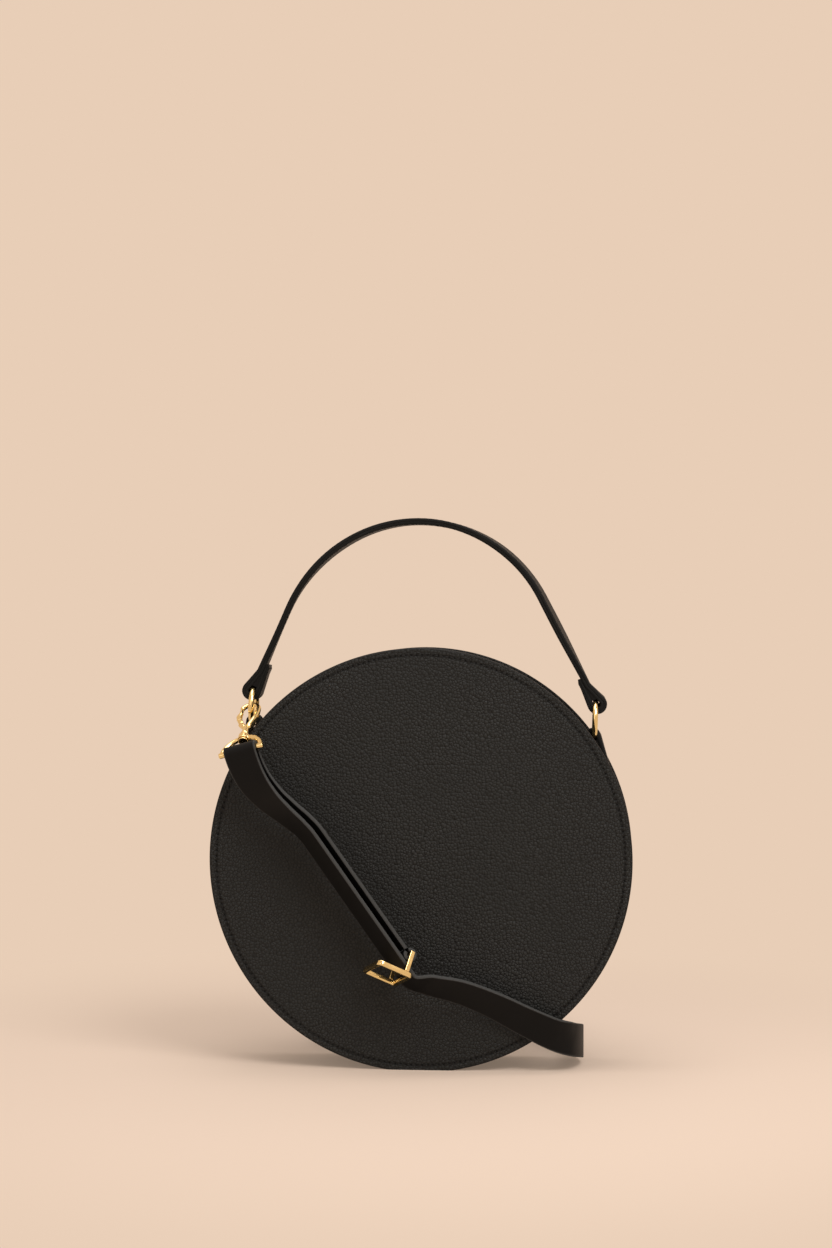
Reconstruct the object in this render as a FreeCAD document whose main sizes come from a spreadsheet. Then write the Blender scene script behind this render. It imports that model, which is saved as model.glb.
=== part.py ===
import FreeCAD, Part
import math
import os
import re
import Sketcher

Vector = FreeCAD.Vector

# Round leather shoulder bag with a top handle and a clip-on strap.
# Frame: X to the right, Y to the back, Z up, origin on the floor under the middle of the bag.

# Driving dimensions, in millimetres, or in degrees where the name ends in angle.
SIZES = {
    "panel_radius": 105.0,
    "bag_depth": 42.0,
    "panel_leather": 2.0,
    "foot_width": 32.0,
    "seam_flange": 5.0,
    "gusset_leather": 1.6,
    "zip_angle": 50.0,
    "mouth_width": 24.0,
    "board_card": 1.2,
    "board_margin": 3.0,
    "lining_cloth": 0.6,
    "pocket_width": 104.0,
    "pocket_height": 72.0,
    "pocket_cloth": 0.8,
    "tape_lap": 4.0,
    "tape_cloth": 0.6,
    "chain_angle": 43.0,
    "tooth_pitch": 3.2,
    "tooth_length": 1.4,
    "tooth_height": 2.4,
    "tooth_root": 3.2,
    "tooth_nose": 0.9,
    "stop_length": 2.4,
    "slider_angle": 38.5,
    "slider_length": 11.0,
    "slider_width": 8.6,
    "slider_plate": 1.0,
    "slider_post_width": 2.2,
    "slider_post_length": 2.4,
    "slider_play": 0.3,
    "bridge_width": 2.6,
    "bridge_wall": 1.0,
    "bridge_gap": 1.9,
    "pull_length": 19.0,
    "pull_width": 6.6,
    "pull_plate": 1.2,
    "pull_arm": 1.1,
    "pull_window": 6.6,
    "pull_hole": 3.0,
    "ring_bar": 2.8,
    "ring_radius": 9.2,
    "ring_left_angle": 48.67,
    "ring_left_lift": 14.4,
    "ring_right_angle": 51.42,
    "ring_right_lift": 10.65,
    "loop_play": 0.3,
    "loop_angle": 38.0,
    "handle_width": 11.0,
    "handle_leather": 3.2,
    "handle_fold": 3.2,
    "handle_skin": 2.2,
    "handle_height": 97.0,
    "handle_tail": 13.5,
    "handle_flare": 9.0,
    "tab_width": 10.0,
    "tab_leather": 2.2,
    "tab_flare_angle": 9.0,
    "tab_end_angle": 15.0,
    "hook_pitch_angle": 33.0,
    "hook_ring_angle": 16.0,
    "hook_shift": 0.6,
    "hook_roll_angle": 190.0,
    "claw_width": 11.4,
    "claw_thickness": 4.0,
    "claw_top": 6.5,
    "claw_eye_width": 6.4,
    "claw_eye_top": 3.7,
    "claw_eye_bottom": 6.5,
    "claw_shoulder": 9.9,
    "claw_throat": 14.1,
    "claw_neck": 3.6,
    "claw_stem": 21.3,
    "swivel_radius": 1.5,
    "swivel_head": 2.5,
    "swivel_head_length": 1.0,
    "swivel_play": 0.3,
    "swivel_bore_play": 0.3,
    "gate_drop": 8.4,
    "gate_offset": 4.2,
    "gate_plate": 2.0,
    "gate_slot": 2.6,
    "gate_bar": 2.1,
    "gate_tip": 1.6,
    "gate_lever": 1.4,
    "gate_play": 0.3,
    "pin_radius": 0.7,
    "pin_play": 0.1,
    "eye_radius": 10.3,
    "eye_bar": 2.8,
    "eye_collar": 3.5,
    "eye_collar_radius": 2.9,
    "eye_roll_angle": 18.0,
    "strap_width": 16.5,
    "strap_leather": 1.8,
    "strap_play": 0.25,
    "strap_clearance": 1.0,
    "floor_play": 0.1,
    "adjuster_run": 74.0,
    "adjuster_lean_angle": 56.0,
    "adjuster_pitch_angle": 33.0,
    "adjuster_clearance": 1.2,
    "slide_length": 19.0,
    "slide_side": 2.3,
    "slide_bar": 2.2,
    "slide_plate": 2.4,
    "slide_play": 0.35,
    "strap_tail": 15.0,
    "free_hook_dip_angle": 2.0,
    "edge_round": 0.8,
    "overrun": 2.0,
}

# Sizes that follow from the driving dimensions.
DERIVED = {
    "half_depth": "(bag_depth / 2)",
    "centre_height": "sqrt(panel_radius ^ 2 - foot_width ^ 2 / 4)",
    "web_radius": "(panel_radius - seam_flange)",
    "web_inner": "(panel_radius - seam_flange - gusset_leather)",
    "gusset_half": "(bag_depth / 2 - panel_leather)",
    "gusset_inner": "(bag_depth / 2 - panel_leather - gusset_leather)",
    "mouth_half": "(mouth_width / 2)",
    "tape_middle": "(panel_radius - seam_flange - gusset_leather - tape_cloth / 2)",
    "lining_radius": "(panel_radius - seam_flange - gusset_leather - board_margin)",
    "board_face": "(bag_depth / 2 - panel_leather - board_card)",
    "lining_face": "(bag_depth / 2 - panel_leather - board_card - lining_cloth)",
    "slider_top": "(tape_middle + tooth_height / 2 + slider_play)",
    "slider_bottom": "(tape_middle - tooth_height / 2 - slider_play)",
    "bridge_floor": "(slider_top + slider_plate)",
    "pull_level": "(slider_top + slider_plate + bridge_gap / 2)",
    "pivot_x": "(slider_length / 8)",
    "ring_half": "(ring_bar / 2)",
    "claw_half": "(claw_width / 2)",
    "claw_eye_half": "(claw_eye_width / 2)",
    "neck_half": "(claw_neck / 2)",
    "collar_top": "(claw_stem + swivel_play)",
    "stem_end": "(claw_stem + swivel_play * 2 + eye_collar)",
    "eye_centre": "(claw_stem + swivel_play + eye_collar / 2 + eye_radius)",
    "slide_half": "(strap_width / 2 + slide_side / 3)",
    "slide_level": "(strap_leather / 2 + slide_play)",
    "slide_arm": "(slide_side * 1.2 + slide_bar / 2)",
    "loop_bore": "(slide_bar / 2 + strap_play * 2)",
    "loop_outer": "(slide_bar / 2 + strap_play * 2 + strap_leather)",
    "bar_level": "(strap_leather / 2 + slide_play + loop_outer)",
    "bar_reach": "(bar_level + slide_level)",
    "bar_run": "((slide_arm + bar_reach * sin(adjuster_pitch_angle)) / cos(adjuster_pitch_angle))",
    "bar_drop": "(bar_reach * cos(adjuster_pitch_angle) + bar_run * sin(adjuster_pitch_angle))",
}

# Handle corners: across as a share of panel_radius, up from the rings as a share of handle_height.
HANDLE_CORNER_SHARES = ((-0.5435, 0.7977), (-0.0581, 1.0467), (0.4488, 0.8548))
HANDLE_ARC_SHARE = 0.5
# The doubled leather above a ring starts a little inside the fold's outer face, as a share of its radius.
FLARE_ROOT_SHARE = 0.88

# Hooks and adjuster: roundings and lever place as shares of the bar or half width that they belong to.
CLAW_CROWN_SHARE = 0.97
CLAW_NECK_SHARE = 0.7
CLAW_EYE_SHARE = 0.9
GATE_ROOT_SHARE = 0.45
GATE_LEVER_SHARE = 2.6
EYE_ARCH_SHARE = 0.46
SLIDE_CORNER_SHARE = 1.2

# Adjuster and strap: across and up from the floor as shares of panel_radius, lean from the bag in degrees.
ADJUSTER_SHARES = (-0.093, 0.523)
ADJUSTER_HEADING_SHARES = (0.580, -0.815)
FACE_RUN_SHARES = (
    (0.060, 0.420, 46.0),
    (0.190, 0.388, 38.0),
    (0.350, 0.324, 31.0),
    (0.510, 0.242, 21.0),
    (0.628, 0.186, 11.0),
)
# Round the side of the bag: across and rise as shares of panel_radius, depth as a share of half_depth.
SIDE_TURN_SHARES = (
    (0.712, -0.84, 0.072),
    (0.755, -0.24, 0.045),
    (0.755, 0.40, 0.022),
    (0.712, 1.04, 0.006),
)
# Loop on the floor behind the bag: across and depth behind the back panel as shares of panel_radius.
BACK_LOOP_SHARES = (
    (0.640, 0.16),
    (0.560, 0.35),
    (0.470, 0.56),
    (0.345, 0.77),
    (0.160, 0.92),
    (-0.080, 0.96),
    (-0.315, 0.87),
    (-0.480, 0.69),
    (-0.560, 0.47),
    (-0.560, 0.28),
    (-0.490, 0.17),
)
# The strap's end turns flat on the floor before its tail, at this share of the tail's length from the hook.
LANDING_SHARE = 1.5
TWIST_STEPS = 14
FREE_HOOK_SHARES = (0.02, 0.15)
RUN_SHARES = (0.12, 0.3, 0.5, 0.7, 0.88, 1.0)
WRAP_STEPS = 6
CURVE_STEPS = 4
FREE_TOOTH_SHARE = 0.5

doc = FreeCAD.newDocument("CircleBag")
sheet = doc.addObject("Spreadsheet::Sheet", "Sizes")
for row, (alias, number) in enumerate(SIZES.items(), start=1):
    sheet.set(f"A{row}", alias.replace("_", " "))
    sheet.set(f"B{row}", str(number))
    sheet.setAlias(f"B{row}", alias)
doc.recompute()

subparts = []


def formula(text):
    """Write derived sizes out in driving dimensions."""
    def expand(match):
        word = match.group()
        return formula(DERIVED[word]) if word in DERIVED else word
    return re.sub(r"[a-z_]+", expand, text)


def bound(text):
    """Expression that reads the spreadsheet's cells."""
    def cell(match):
        word = match.group()
        return f"Sizes.{word}" if word in SIZES else word
    return re.sub(r"[a-z_]+", cell, formula(text))


def size(text):
    """Present value of a size, in millimetres or degrees."""
    return float(sheet.evalExpression(formula(text)))


def bind(thing, **expressions):
    for name, text in expressions.items():
        thing.setExpression(name.replace("__", "."), bound(text))


def keep(thing, label):
    thing.Label = label
    subparts.append(thing)
    return thing


def new_body(label):
    body = doc.addObject("PartDesign::Body", f"{label}_body")
    return keep(body, label)


def new_shape(label, shape):
    feature = doc.addObject("Part::Feature", f"{label}_shape")
    feature.Shape = shape
    return keep(feature, label)


def new_sketch(body, role, offset=None):
    sketch = body.newObject("Sketcher::SketchObject", f"{body.Name}_sketch")
    plane = next(item for item in body.Origin.OriginFeatures if item.Role == role)
    sketch.AttachmentSupport = [(plane, "")]
    sketch.MapMode = "FlatFace"
    if offset:
        sketch.setExpression("AttachmentOffset.Base.z", bound(offset))
    return sketch


def pin_point(sketch, edge, end, across, up):
    """Tie one end of an edge to its two coordinates."""
    for kind, text, axis in (("DistanceX", across, -2), ("DistanceY", up, -1)):
        if abs(size(text)) < 1e-9:
            sketch.addConstraint(Sketcher.Constraint("PointOnObject", edge, end, axis))
            continue
        index = sketch.addConstraint(Sketcher.Constraint(kind, -1, 1, edge, end, size(text)))
        sketch.setExpression(f"Constraints[{index}]", bound(text))


def add_polygon(sketch, corners):
    """Closed outline through corners that are given as pairs of sizes."""
    first = sketch.GeometryCount
    count = len(corners)
    points = [Vector(size(across), size(up), 0) for across, up in corners]
    for index in range(count):
        sketch.addGeometry(Part.LineSegment(points[index], points[(index + 1) % count]), False)
    for index, (across, up) in enumerate(corners):
        following = first + (index + 1) % count
        sketch.addConstraint(Sketcher.Constraint("Coincident", first + index, 2, following, 1))
        pin_point(sketch, first + index, 1, across, up)


def add_rectangle(sketch, left, bottom, right, top):
    add_polygon(sketch, ((left, bottom), (right, bottom), (right, top), (left, top)))


def add_circle(sketch, across, up, radius):
    centre = Vector(size(across), size(up), 0)
    edge = sketch.addGeometry(Part.Circle(centre, Vector(0, 0, 1), size(radius)), False)
    pin_point(sketch, edge, 3, across, up)
    index = sketch.addConstraint(Sketcher.Constraint("Radius", edge, size(radius)))
    sketch.setExpression(f"Constraints[{index}]", bound(radius))


def add_footed_disc(sketch, radius, chord):
    """Disc whose foot is cut flat at a distance below its centre."""
    half = math.acos(size(chord) / size(radius))
    start = -math.pi / 2 + half
    end = math.pi * 3 / 2 - half
    circle = Part.Circle(Vector(0, 0, 0), Vector(0, 0, 1), size(radius))
    arc = sketch.addGeometry(Part.ArcOfCircle(circle, start, end), False)
    shape = sketch.Geometry[arc]
    line = sketch.addGeometry(Part.LineSegment(shape.EndPoint, shape.StartPoint), False)
    sketch.addConstraint(Sketcher.Constraint("Coincident", arc, 3, -1, 1))
    index = sketch.addConstraint(Sketcher.Constraint("Radius", arc, size(radius)))
    sketch.setExpression(f"Constraints[{index}]", bound(radius))
    sketch.addConstraint(Sketcher.Constraint("Coincident", arc, 2, line, 1))
    sketch.addConstraint(Sketcher.Constraint("Coincident", line, 2, arc, 1))
    sketch.addConstraint(Sketcher.Constraint("Horizontal", line))
    index = sketch.addConstraint(Sketcher.Constraint("DistanceY", -1, 1, line, 1, -size(chord)))
    sketch.setExpression(f"Constraints[{index}]", bound(f"-({chord})"))


def pad(body, sketch, length):
    """Boss that is even on both sides of its sketch."""
    feature = body.newObject("PartDesign::Pad", f"{body.Name}_pad")
    feature.Profile = sketch
    feature.SideType = "Symmetric"
    bind(feature, Length=length)
    return feature


def pocket(body, sketch, length):
    """Cut that is even on both sides of its sketch."""
    feature = body.newObject("PartDesign::Pocket", f"{body.Name}_pocket")
    feature.Profile = sketch
    feature.SideType = "Symmetric"
    bind(feature, Length=length)
    return feature


def revolve(body, sketch, axis, angle):
    feature = body.newObject("PartDesign::Revolution", f"{body.Name}_revolution")
    feature.Profile = sketch
    feature.ReferenceAxis = (sketch, [axis])
    feature.Midplane = True
    bind(feature, Angle=angle)
    return feature


def fillet(body, base, choose, radius):
    """Round the edges of a feature that choose() picks out."""
    doc.recompute()
    names = [f"Edge{index}" for index, edge in enumerate(base.Shape.Edges, start=1) if choose(edge)]
    feature = body.newObject("PartDesign::Fillet", f"{body.Name}_fillet")
    feature.Base = (base, names)
    bind(feature, Radius=radius)
    return feature


def runs_along(edge, direction):
    """True for a straight edge that is parallel to a direction."""
    if not isinstance(edge.Curve, Part.Line):
        return False
    return abs(edge.tangentAt(edge.FirstParameter).dot(direction)) > 0.999


def raise_to_centre(body):
    bind(body, Placement__Base__z="centre_height")


def panels_and_boards():
    """Front and back panels, the card behind each, and the lining over the card."""
    layers = (
        ("panel", "panel_radius", "centre_height", "panel_leather", "half_depth - panel_leather / 2"),
        ("board", "lining_radius", "", "board_card", "board_face + board_card / 2"),
        ("lining", "lining_radius", "", "lining_cloth", "lining_face + lining_cloth / 2"),
    )
    for side, sign in (("front", "-"), ("back", "")):
        for name, radius, chord, thickness, place in layers:
            body = new_body(f"{side}_{name}")
            sketch = new_sketch(body, "XZ_Plane")
            if chord:
                add_footed_disc(sketch, radius, chord)
            else:
                add_circle(sketch, "0", "0", radius)
            pad(body, sketch, thickness)
            raise_to_centre(body)
            bind(body, Placement__Base__y=f"{sign}({place})")


def gusset():
    """Channel round the sides and foot, its two flanges turned outwards to meet the panels."""
    body = new_body("gusset")
    sketch = new_sketch(body, "YZ_Plane")
    add_polygon(sketch, (
        ("-gusset_half", "-panel_radius"), ("-gusset_inner", "-panel_radius"),
        ("-gusset_inner", "-web_radius"), ("gusset_inner", "-web_radius"),
        ("gusset_inner", "-panel_radius"), ("gusset_half", "-panel_radius"),
        ("gusset_half", "-web_inner"), ("-gusset_half", "-web_inner"),
    ))
    revolve(body, sketch, "H_Axis", "360 - zip_angle * 2")
    foot = new_sketch(body, "XZ_Plane")
    add_rectangle(foot, "-foot_width", "-panel_radius - overrun", "foot_width", "-centre_height")
    pocket(body, foot, "bag_depth")
    raise_to_centre(body)

    lining = new_body("gusset_lining")
    sketch = new_sketch(lining, "YZ_Plane")
    add_rectangle(sketch, "-gusset_inner", "-web_inner", "gusset_inner", "-web_inner + lining_cloth")
    revolve(lining, sketch, "H_Axis", "360 - zip_angle * 2")
    raise_to_centre(lining)


def slip_pocket():
    """Flat open-topped pocket sewn on the back lining."""
    body = new_body("slip_pocket")
    sketch = new_sketch(body, "XZ_Plane")
    add_rectangle(sketch, "-pocket_width / 2", "-pocket_height / 2", "pocket_width / 2", "pocket_height / 2")
    base = pad(body, sketch, "pocket_cloth")
    lower = lambda edge: runs_along(edge, Vector(0, 1, 0)) and edge.CenterOfMass.z < 0
    fillet(body, base, lower, "pocket_height / 6")
    raise_to_centre(body)
    bind(body, Placement__Base__y="lining_face - pocket_cloth / 2")


def zip_strips_and_tapes():
    """Leather strips along the mouth and the woven tape under each."""
    for side, sign in (("front", "-"), ("back", "")):
        strip = new_body(f"zip_strip_{side}")
        sketch = new_sketch(strip, "YZ_Plane")
        add_polygon(sketch, (
            (f"{sign}gusset_half", "panel_radius"), (f"{sign}gusset_inner", "panel_radius"),
            (f"{sign}gusset_inner", "web_radius"), (f"{sign}mouth_half", "web_radius"),
            (f"{sign}mouth_half", "web_inner"), (f"{sign}gusset_half", "web_inner"),
        ))
        revolve(strip, sketch, "H_Axis", "zip_angle * 2")
        raise_to_centre(strip)

        tape = new_body(f"zip_tape_{side}")
        sketch = new_sketch(tape, "YZ_Plane")
        add_rectangle(sketch, f"{sign}tooth_root", "web_inner - tape_cloth",
                      f"{sign}(mouth_half + tape_lap)", "web_inner")
        revolve(tape, sketch, "H_Axis", "zip_angle * 2")
        raise_to_centre(tape)


def at_zip(shape, degrees):
    """Move a shape made at the top of the bag round to its place along the zip."""
    centre = Vector(0, 0, size("centre_height"))
    moved = shape.copy()
    moved.translate(centre)
    moved.rotate(centre, Vector(0, 1, 0), degrees)
    return moved


def zip_box(length, low, high, height):
    """Block across the zip at the top of the bag, about the middle of the tape."""
    corner = Vector(-length / 2, low, size("tape_middle") - height / 2)
    return Part.makeBox(length, high - low, height, corner)


def zip_teeth():
    """Two rows of teeth, each row half a pitch on from the other, and the stops at their ends."""
    step = math.degrees(size("tooth_pitch") / size("tape_middle"))
    reach = int(size("chain_angle") / step)
    root, nose = size("tooth_root"), size("tooth_nose")
    rows = (("front", -root, nose, 0.0), ("back", -nose, root, FREE_TOOTH_SHARE))
    for side, low, high, lag in rows:
        tooth = zip_box(size("tooth_length"), low, high, size("tooth_height"))
        places = [(index + lag) * step for index in range(-reach, reach)]
        places = [angle for angle in places if angle < size("slider_angle")]
        new_shape(f"zip_teeth_{side}", Part.makeCompound([at_zip(tooth, angle) for angle in places]))
    start = reach * step + math.degrees(size("tooth_pitch / 2 + stop_length / 2") / size("tape_middle"))
    past_slider = size("slider_length / 2 + slider_play + stop_length / 2")
    end = size("slider_angle") + math.degrees(past_slider / size("tape_middle"))
    height = size("tooth_height + slider_play")
    gap = size("slider_play")
    stops = [at_zip(zip_box(size("stop_length"), -root, root, height), -start)]
    for low, high in ((-root, -gap), (gap, root)):
        stops.append(at_zip(zip_box(size("stop_length"), low, high, height), end))
    new_shape("zip_stops", Part.makeCompound(stops))


def zip_slider():
    """Two plates joined by a wedge at the nose, with a bridge over the top for the pull."""
    body = new_body("zip_slider")
    front, rear = "slider_length / 2", "-slider_length / 2"
    base = new_sketch(body, "XZ_Plane")
    add_rectangle(base, rear, "slider_bottom - slider_plate", front, "slider_bottom")
    pad(body, base, "slider_width")
    post = new_sketch(body, "XZ_Plane")
    add_rectangle(post, f"{front} - slider_post_length", "slider_bottom - slider_plate / 2",
                  front, "slider_top + slider_plate / 2")
    pad(body, post, "slider_post_width")
    top = new_sketch(body, "XZ_Plane")
    add_rectangle(top, rear, "slider_top", front, "bridge_floor")
    plates = pad(body, top, "slider_width")
    side = size("slider_width / 3")
    corners = lambda edge: runs_along(edge, Vector(0, 0, 1)) and abs(edge.CenterOfMass.y) > side
    fillet(body, plates, corners, "slider_width / 5")
    bridge = new_sketch(body, "XZ_Plane")
    inner = "slider_length / 2 - bridge_wall * 2"
    outer = "slider_length / 2 - bridge_wall"
    add_polygon(bridge, (
        (f"-({outer})", "bridge_floor"), (f"-({inner})", "bridge_floor"),
        (f"-({inner})", "bridge_floor + bridge_gap"), (inner, "bridge_floor + bridge_gap"),
        (inner, "bridge_floor"), (outer, "bridge_floor"),
        (outer, "bridge_floor + bridge_gap + bridge_wall"),
        (f"-({outer})", "bridge_floor + bridge_gap + bridge_wall"),
    ))
    pad(body, bridge, "bridge_width")
    raise_to_centre(body)
    body.Placement.Rotation = FreeCAD.Rotation(Vector(0, 1, 0), size("slider_angle"))


def zip_pull():
    """Flat pull, its cross bar held under the slider's bridge, lying back along the zip."""
    body = new_body("zip_pull")
    plan = new_sketch(body, "XY_Plane", "pull_level")
    bar = "pull_plate / 2"
    add_rectangle(plan, "pivot_x - pull_length", "-pull_width / 2", f"pivot_x + {bar}", "pull_width / 2")
    plate = pad(body, plan, "pull_plate")
    window = new_sketch(body, "XY_Plane", "pull_level")
    add_rectangle(window, f"pivot_x - {bar} - pull_window", "-pull_width / 2 + pull_arm",
                  f"pivot_x - {bar}", "pull_width / 2 - pull_arm")
    pocket(body, window, "pull_plate * 2")
    hole = new_sketch(body, "XY_Plane", "pull_level")
    add_circle(hole, "pivot_x - pull_length + pull_hole", "0", "pull_hole / 2")
    cut = pocket(body, hole, "pull_plate * 2")
    tip = size("pivot_x - pull_length / 2")
    ends = lambda edge: runs_along(edge, Vector(0, 0, 1)) and edge.CenterOfMass.x < tip
    fillet(body, cut, ends, "pull_width / 3")
    raise_to_centre(body)
    body.Placement.Rotation = FreeCAD.Rotation(Vector(0, 1, 0), size("slider_angle"))


def ring_centres():
    """Middles of the rings, each at its own angle from the top of the bag and lifted off the gusset."""
    centres = []
    for side, sign in (("left", -1), ("right", 1)):
        turn = math.radians(size(f"ring_{side}_angle"))
        reach = size(f"web_radius + ring_{side}_lift")
        level = size("centre_height") + reach * math.cos(turn)
        centres.append(Vector(sign * reach * math.sin(turn), 0, level))
    return centres


def swing_axis():
    left, right = ring_centres()
    return (right - left).normalize()


def ring_up():
    """Upright direction square to the line through the rings."""
    return swing_axis().cross(Vector(0, 1, 0)).normalize()


def rings():
    for side, centre in zip(("left", "right"), ring_centres()):
        ring = doc.addObject("Part::Torus", f"ring_{side}_torus")
        bind(ring, Radius1="ring_radius", Radius2="ring_half")
        turn = FreeCAD.Rotation(Vector(0, 0, 1), swing_axis())
        ring.Placement = FreeCAD.Placement(centre, turn)
        keep(ring, f"ring_{side}")


def ring_sleeve(centre, direction, radius, width):
    """Curved tube of leather about a ring's own bar, cut to the width of the strip that it is part of."""
    middle = centre + direction * size("ring_radius")
    along = swing_axis().cross(direction)
    half_angle = size("loop_angle")
    section = Part.Face(Part.Wire(Part.makeCircle(radius, middle, along)))
    section.rotate(centre, swing_axis(), -half_angle)
    tube = section.revolve(centre, swing_axis(), half_angle * 2)
    reach = size("ring_radius + ring_bar + overrun") + radius
    slab = Part.makeBox(reach * 2, width, reach * 2, centre - Vector(reach, width / 2, reach))
    return tube.common(slab)


def ring_bore(centre):
    """Room for a ring's bar inside a leather loop."""
    return Part.makeTorus(size("ring_radius"), size("ring_half + loop_play"), centre, swing_axis())


def flat_prism(outline, width):
    """Solid of even width about the middle plane from corners in that plane."""
    face = Part.Face(Part.makePolygon(outline + outline[:1]))
    face.translate(Vector(0, -width / 2, 0))
    return face.extrude(Vector(0, width, 0))


def path_runs(points):
    """Unit direction and outward normal of each straight run of a path."""
    runs = []
    for start, end in zip(points, points[1:]):
        along = (end - start).normalize()
        runs.append((along, Vector(-along.z, 0, along.x)))
    return runs


def offset_side(points, offset, skip):
    """Edges of a path with rounded corners, moved sideways by an offset and shortened at both ends."""
    runs = path_runs(points)
    edges = []
    start = points[0] + runs[0][0] * skip + runs[0][1] * offset
    for index in range(1, len(points) - 1):
        (before, before_out), (after, after_out) = runs[index - 1], runs[index]
        shorter = min(points[index].distanceToPoint(points[index - 1]),
                      points[index].distanceToPoint(points[index + 1]))
        reach = shorter * HANDLE_ARC_SHARE
        half_turn = before.getAngle(after) / 2
        radius = reach / math.tan(half_turn)
        entry, leave = points[index] - before * reach, points[index] + after * reach
        centre = entry - before_out * radius
        crown = (points[index] - centre).normalize() * (radius + offset)
        arc = Part.Arc(entry + before_out * offset, centre + crown, leave + after_out * offset)
        if start.distanceToPoint(arc.StartPoint) > 1e-6:
            edges.append(Part.LineSegment(start, arc.StartPoint).toShape())
        edges.append(arc.toShape())
        start = arc.EndPoint
    end = points[-1] - runs[-1][0] * skip + runs[-1][1] * offset
    edges.append(Part.LineSegment(start, end).toShape())
    return edges


def handle():
    """Arched handle whose two ends fold round the rings and are sewn back on themselves."""
    centres = ring_centres()
    up = ring_up()
    feet = [centre + up * size("ring_radius") for centre in centres]
    base = (centres[0].z + centres[1].z) / 2
    corners = [Vector(across * size("panel_radius"), 0, base + rise * size("handle_height"))
               for across, rise in HANDLE_CORNER_SHARES]
    path = [feet[0], *corners, feet[1]]
    width, half, skin = size("handle_width"), size("handle_leather") / 2, size("handle_skin")
    flare, tail = size("handle_flare"), size("handle_tail")
    sleeve_radius = size("ring_half + loop_play + handle_fold")
    root = sleeve_radius * FLARE_ROOT_SHARE
    edges = offset_side(path, half, flare) + offset_side(path, -half, tail)
    for run, foot, sign in ((0, feet[0], 1), (-1, feet[1], -1)):
        along, out = path_runs(path)[run]
        along = along * sign
        under = out * -(half + skin)
        edges += Part.makePolygon([
            foot + along * flare + out * half, foot + out * root, foot - out * root,
            foot + along * flare + under, foot + along * tail + under, foot + along * tail - out * half,
        ]).Edges
    face = Part.Face(Part.Wire(Part.__sortEdges__(edges)))
    face.translate(Vector(0, -width / 2, 0))
    solid = face.extrude(Vector(0, width, 0))
    for centre in centres:
        solid = solid.fuse(ring_sleeve(centre, up, sleeve_radius, width)).cut(ring_bore(centre))
    new_shape("handle", solid.removeSplitter())


def tabs():
    """Leather tabs folded round the rings, with both layers sewn down on the gusset."""
    middle = Vector(0, 0, size("centre_height"))
    stack = size("tab_leather * 2")
    sleeve_radius = size("ring_half + loop_play + tab_leather")
    root = sleeve_radius * FLARE_ROOT_SHARE
    width = size("tab_width")
    web = size("web_radius")

    def on_side(sign, degrees, radius):
        turn = math.radians(degrees)
        return middle + Vector(sign * math.sin(turn), 0, math.cos(turn)) * radius

    for side, centre, sign in zip(("left", "right"), ring_centres(), (-1, 1)):
        bottom = centre - ring_up() * size("ring_radius")
        from_middle = bottom - middle
        top = math.degrees(math.atan2(abs(from_middle.x), from_middle.z))
        flare, end = top + size("tab_flare_angle"), top + size("tab_end_angle")
        turn = math.radians(top)
        down = Vector(sign * math.cos(turn), 0, -math.sin(turn))
        wedge = flat_prism([bottom + down * root, bottom - down * root,
                            on_side(sign, top, web - size("gusset_leather")),
                            on_side(sign, flare, web - size("gusset_leather")),
                            on_side(sign, flare, web + stack)], width)
        sew = flat_prism([on_side(sign, flare, web - size("gusset_leather")),
                          on_side(sign, flare, web + stack),
                          on_side(sign, end, web + stack),
                          on_side(sign, end, web - size("gusset_leather"))], width)
        drum = Part.makeCylinder(web, width + size("overrun"),
                                 middle - Vector(0, width / 2 + size("overrun / 2"), 0), Vector(0, 1, 0))
        solid = wedge.fuse([sew, ring_sleeve(centre, -ring_up(), sleeve_radius, width)])
        solid = solid.cut([drum, ring_bore(centre)])
        new_shape(f"tab_{side}", solid.removeSplitter())


def left_hook_place(roll):
    """Frame of the clipped hook: origin on the ring's bar, Y back along the hook, Z out of its face."""
    centre = ring_centres()[0]
    turn = math.radians(size("hook_ring_angle"))
    pitch = math.radians(size("hook_pitch_angle"))
    origin = centre - Vector(0, math.cos(turn), math.sin(turn)) * size("ring_radius")
    origin.x -= size("hook_shift")
    back = Vector(0, math.cos(pitch), math.sin(pitch))
    face = Vector(0, -math.sin(pitch), math.cos(pitch))
    frame = FreeCAD.Rotation(Vector(1, 0, 0), back, face, "XYZ")
    return FreeCAD.Placement(origin, frame * FreeCAD.Rotation(Vector(0, 1, 0), -roll))


def free_hook_bar():
    """Middle of the free hook's bar, where the end of the strap is folded round it on the floor."""
    across, depth = FREE_HOOK_SHARES
    height = size("strap_leather + strap_play + eye_bar / 2 + floor_play")
    return Vector(across * size("panel_radius"), size("half_depth") + depth * size("panel_radius"), height)


def free_hook_place():
    """Frame of the free hook, lying on the floor with its claw dipped to touch it."""
    dip = math.radians(size("free_hook_dip_angle"))
    back = Vector(math.cos(dip), 0, -math.sin(dip))
    face = Vector(math.sin(dip), 0, math.cos(dip))
    frame = FreeCAD.Rotation(back.cross(face), back, face, "XYZ")
    return FreeCAD.Placement(free_hook_bar() + back * size("eye_centre"), frame)


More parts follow.
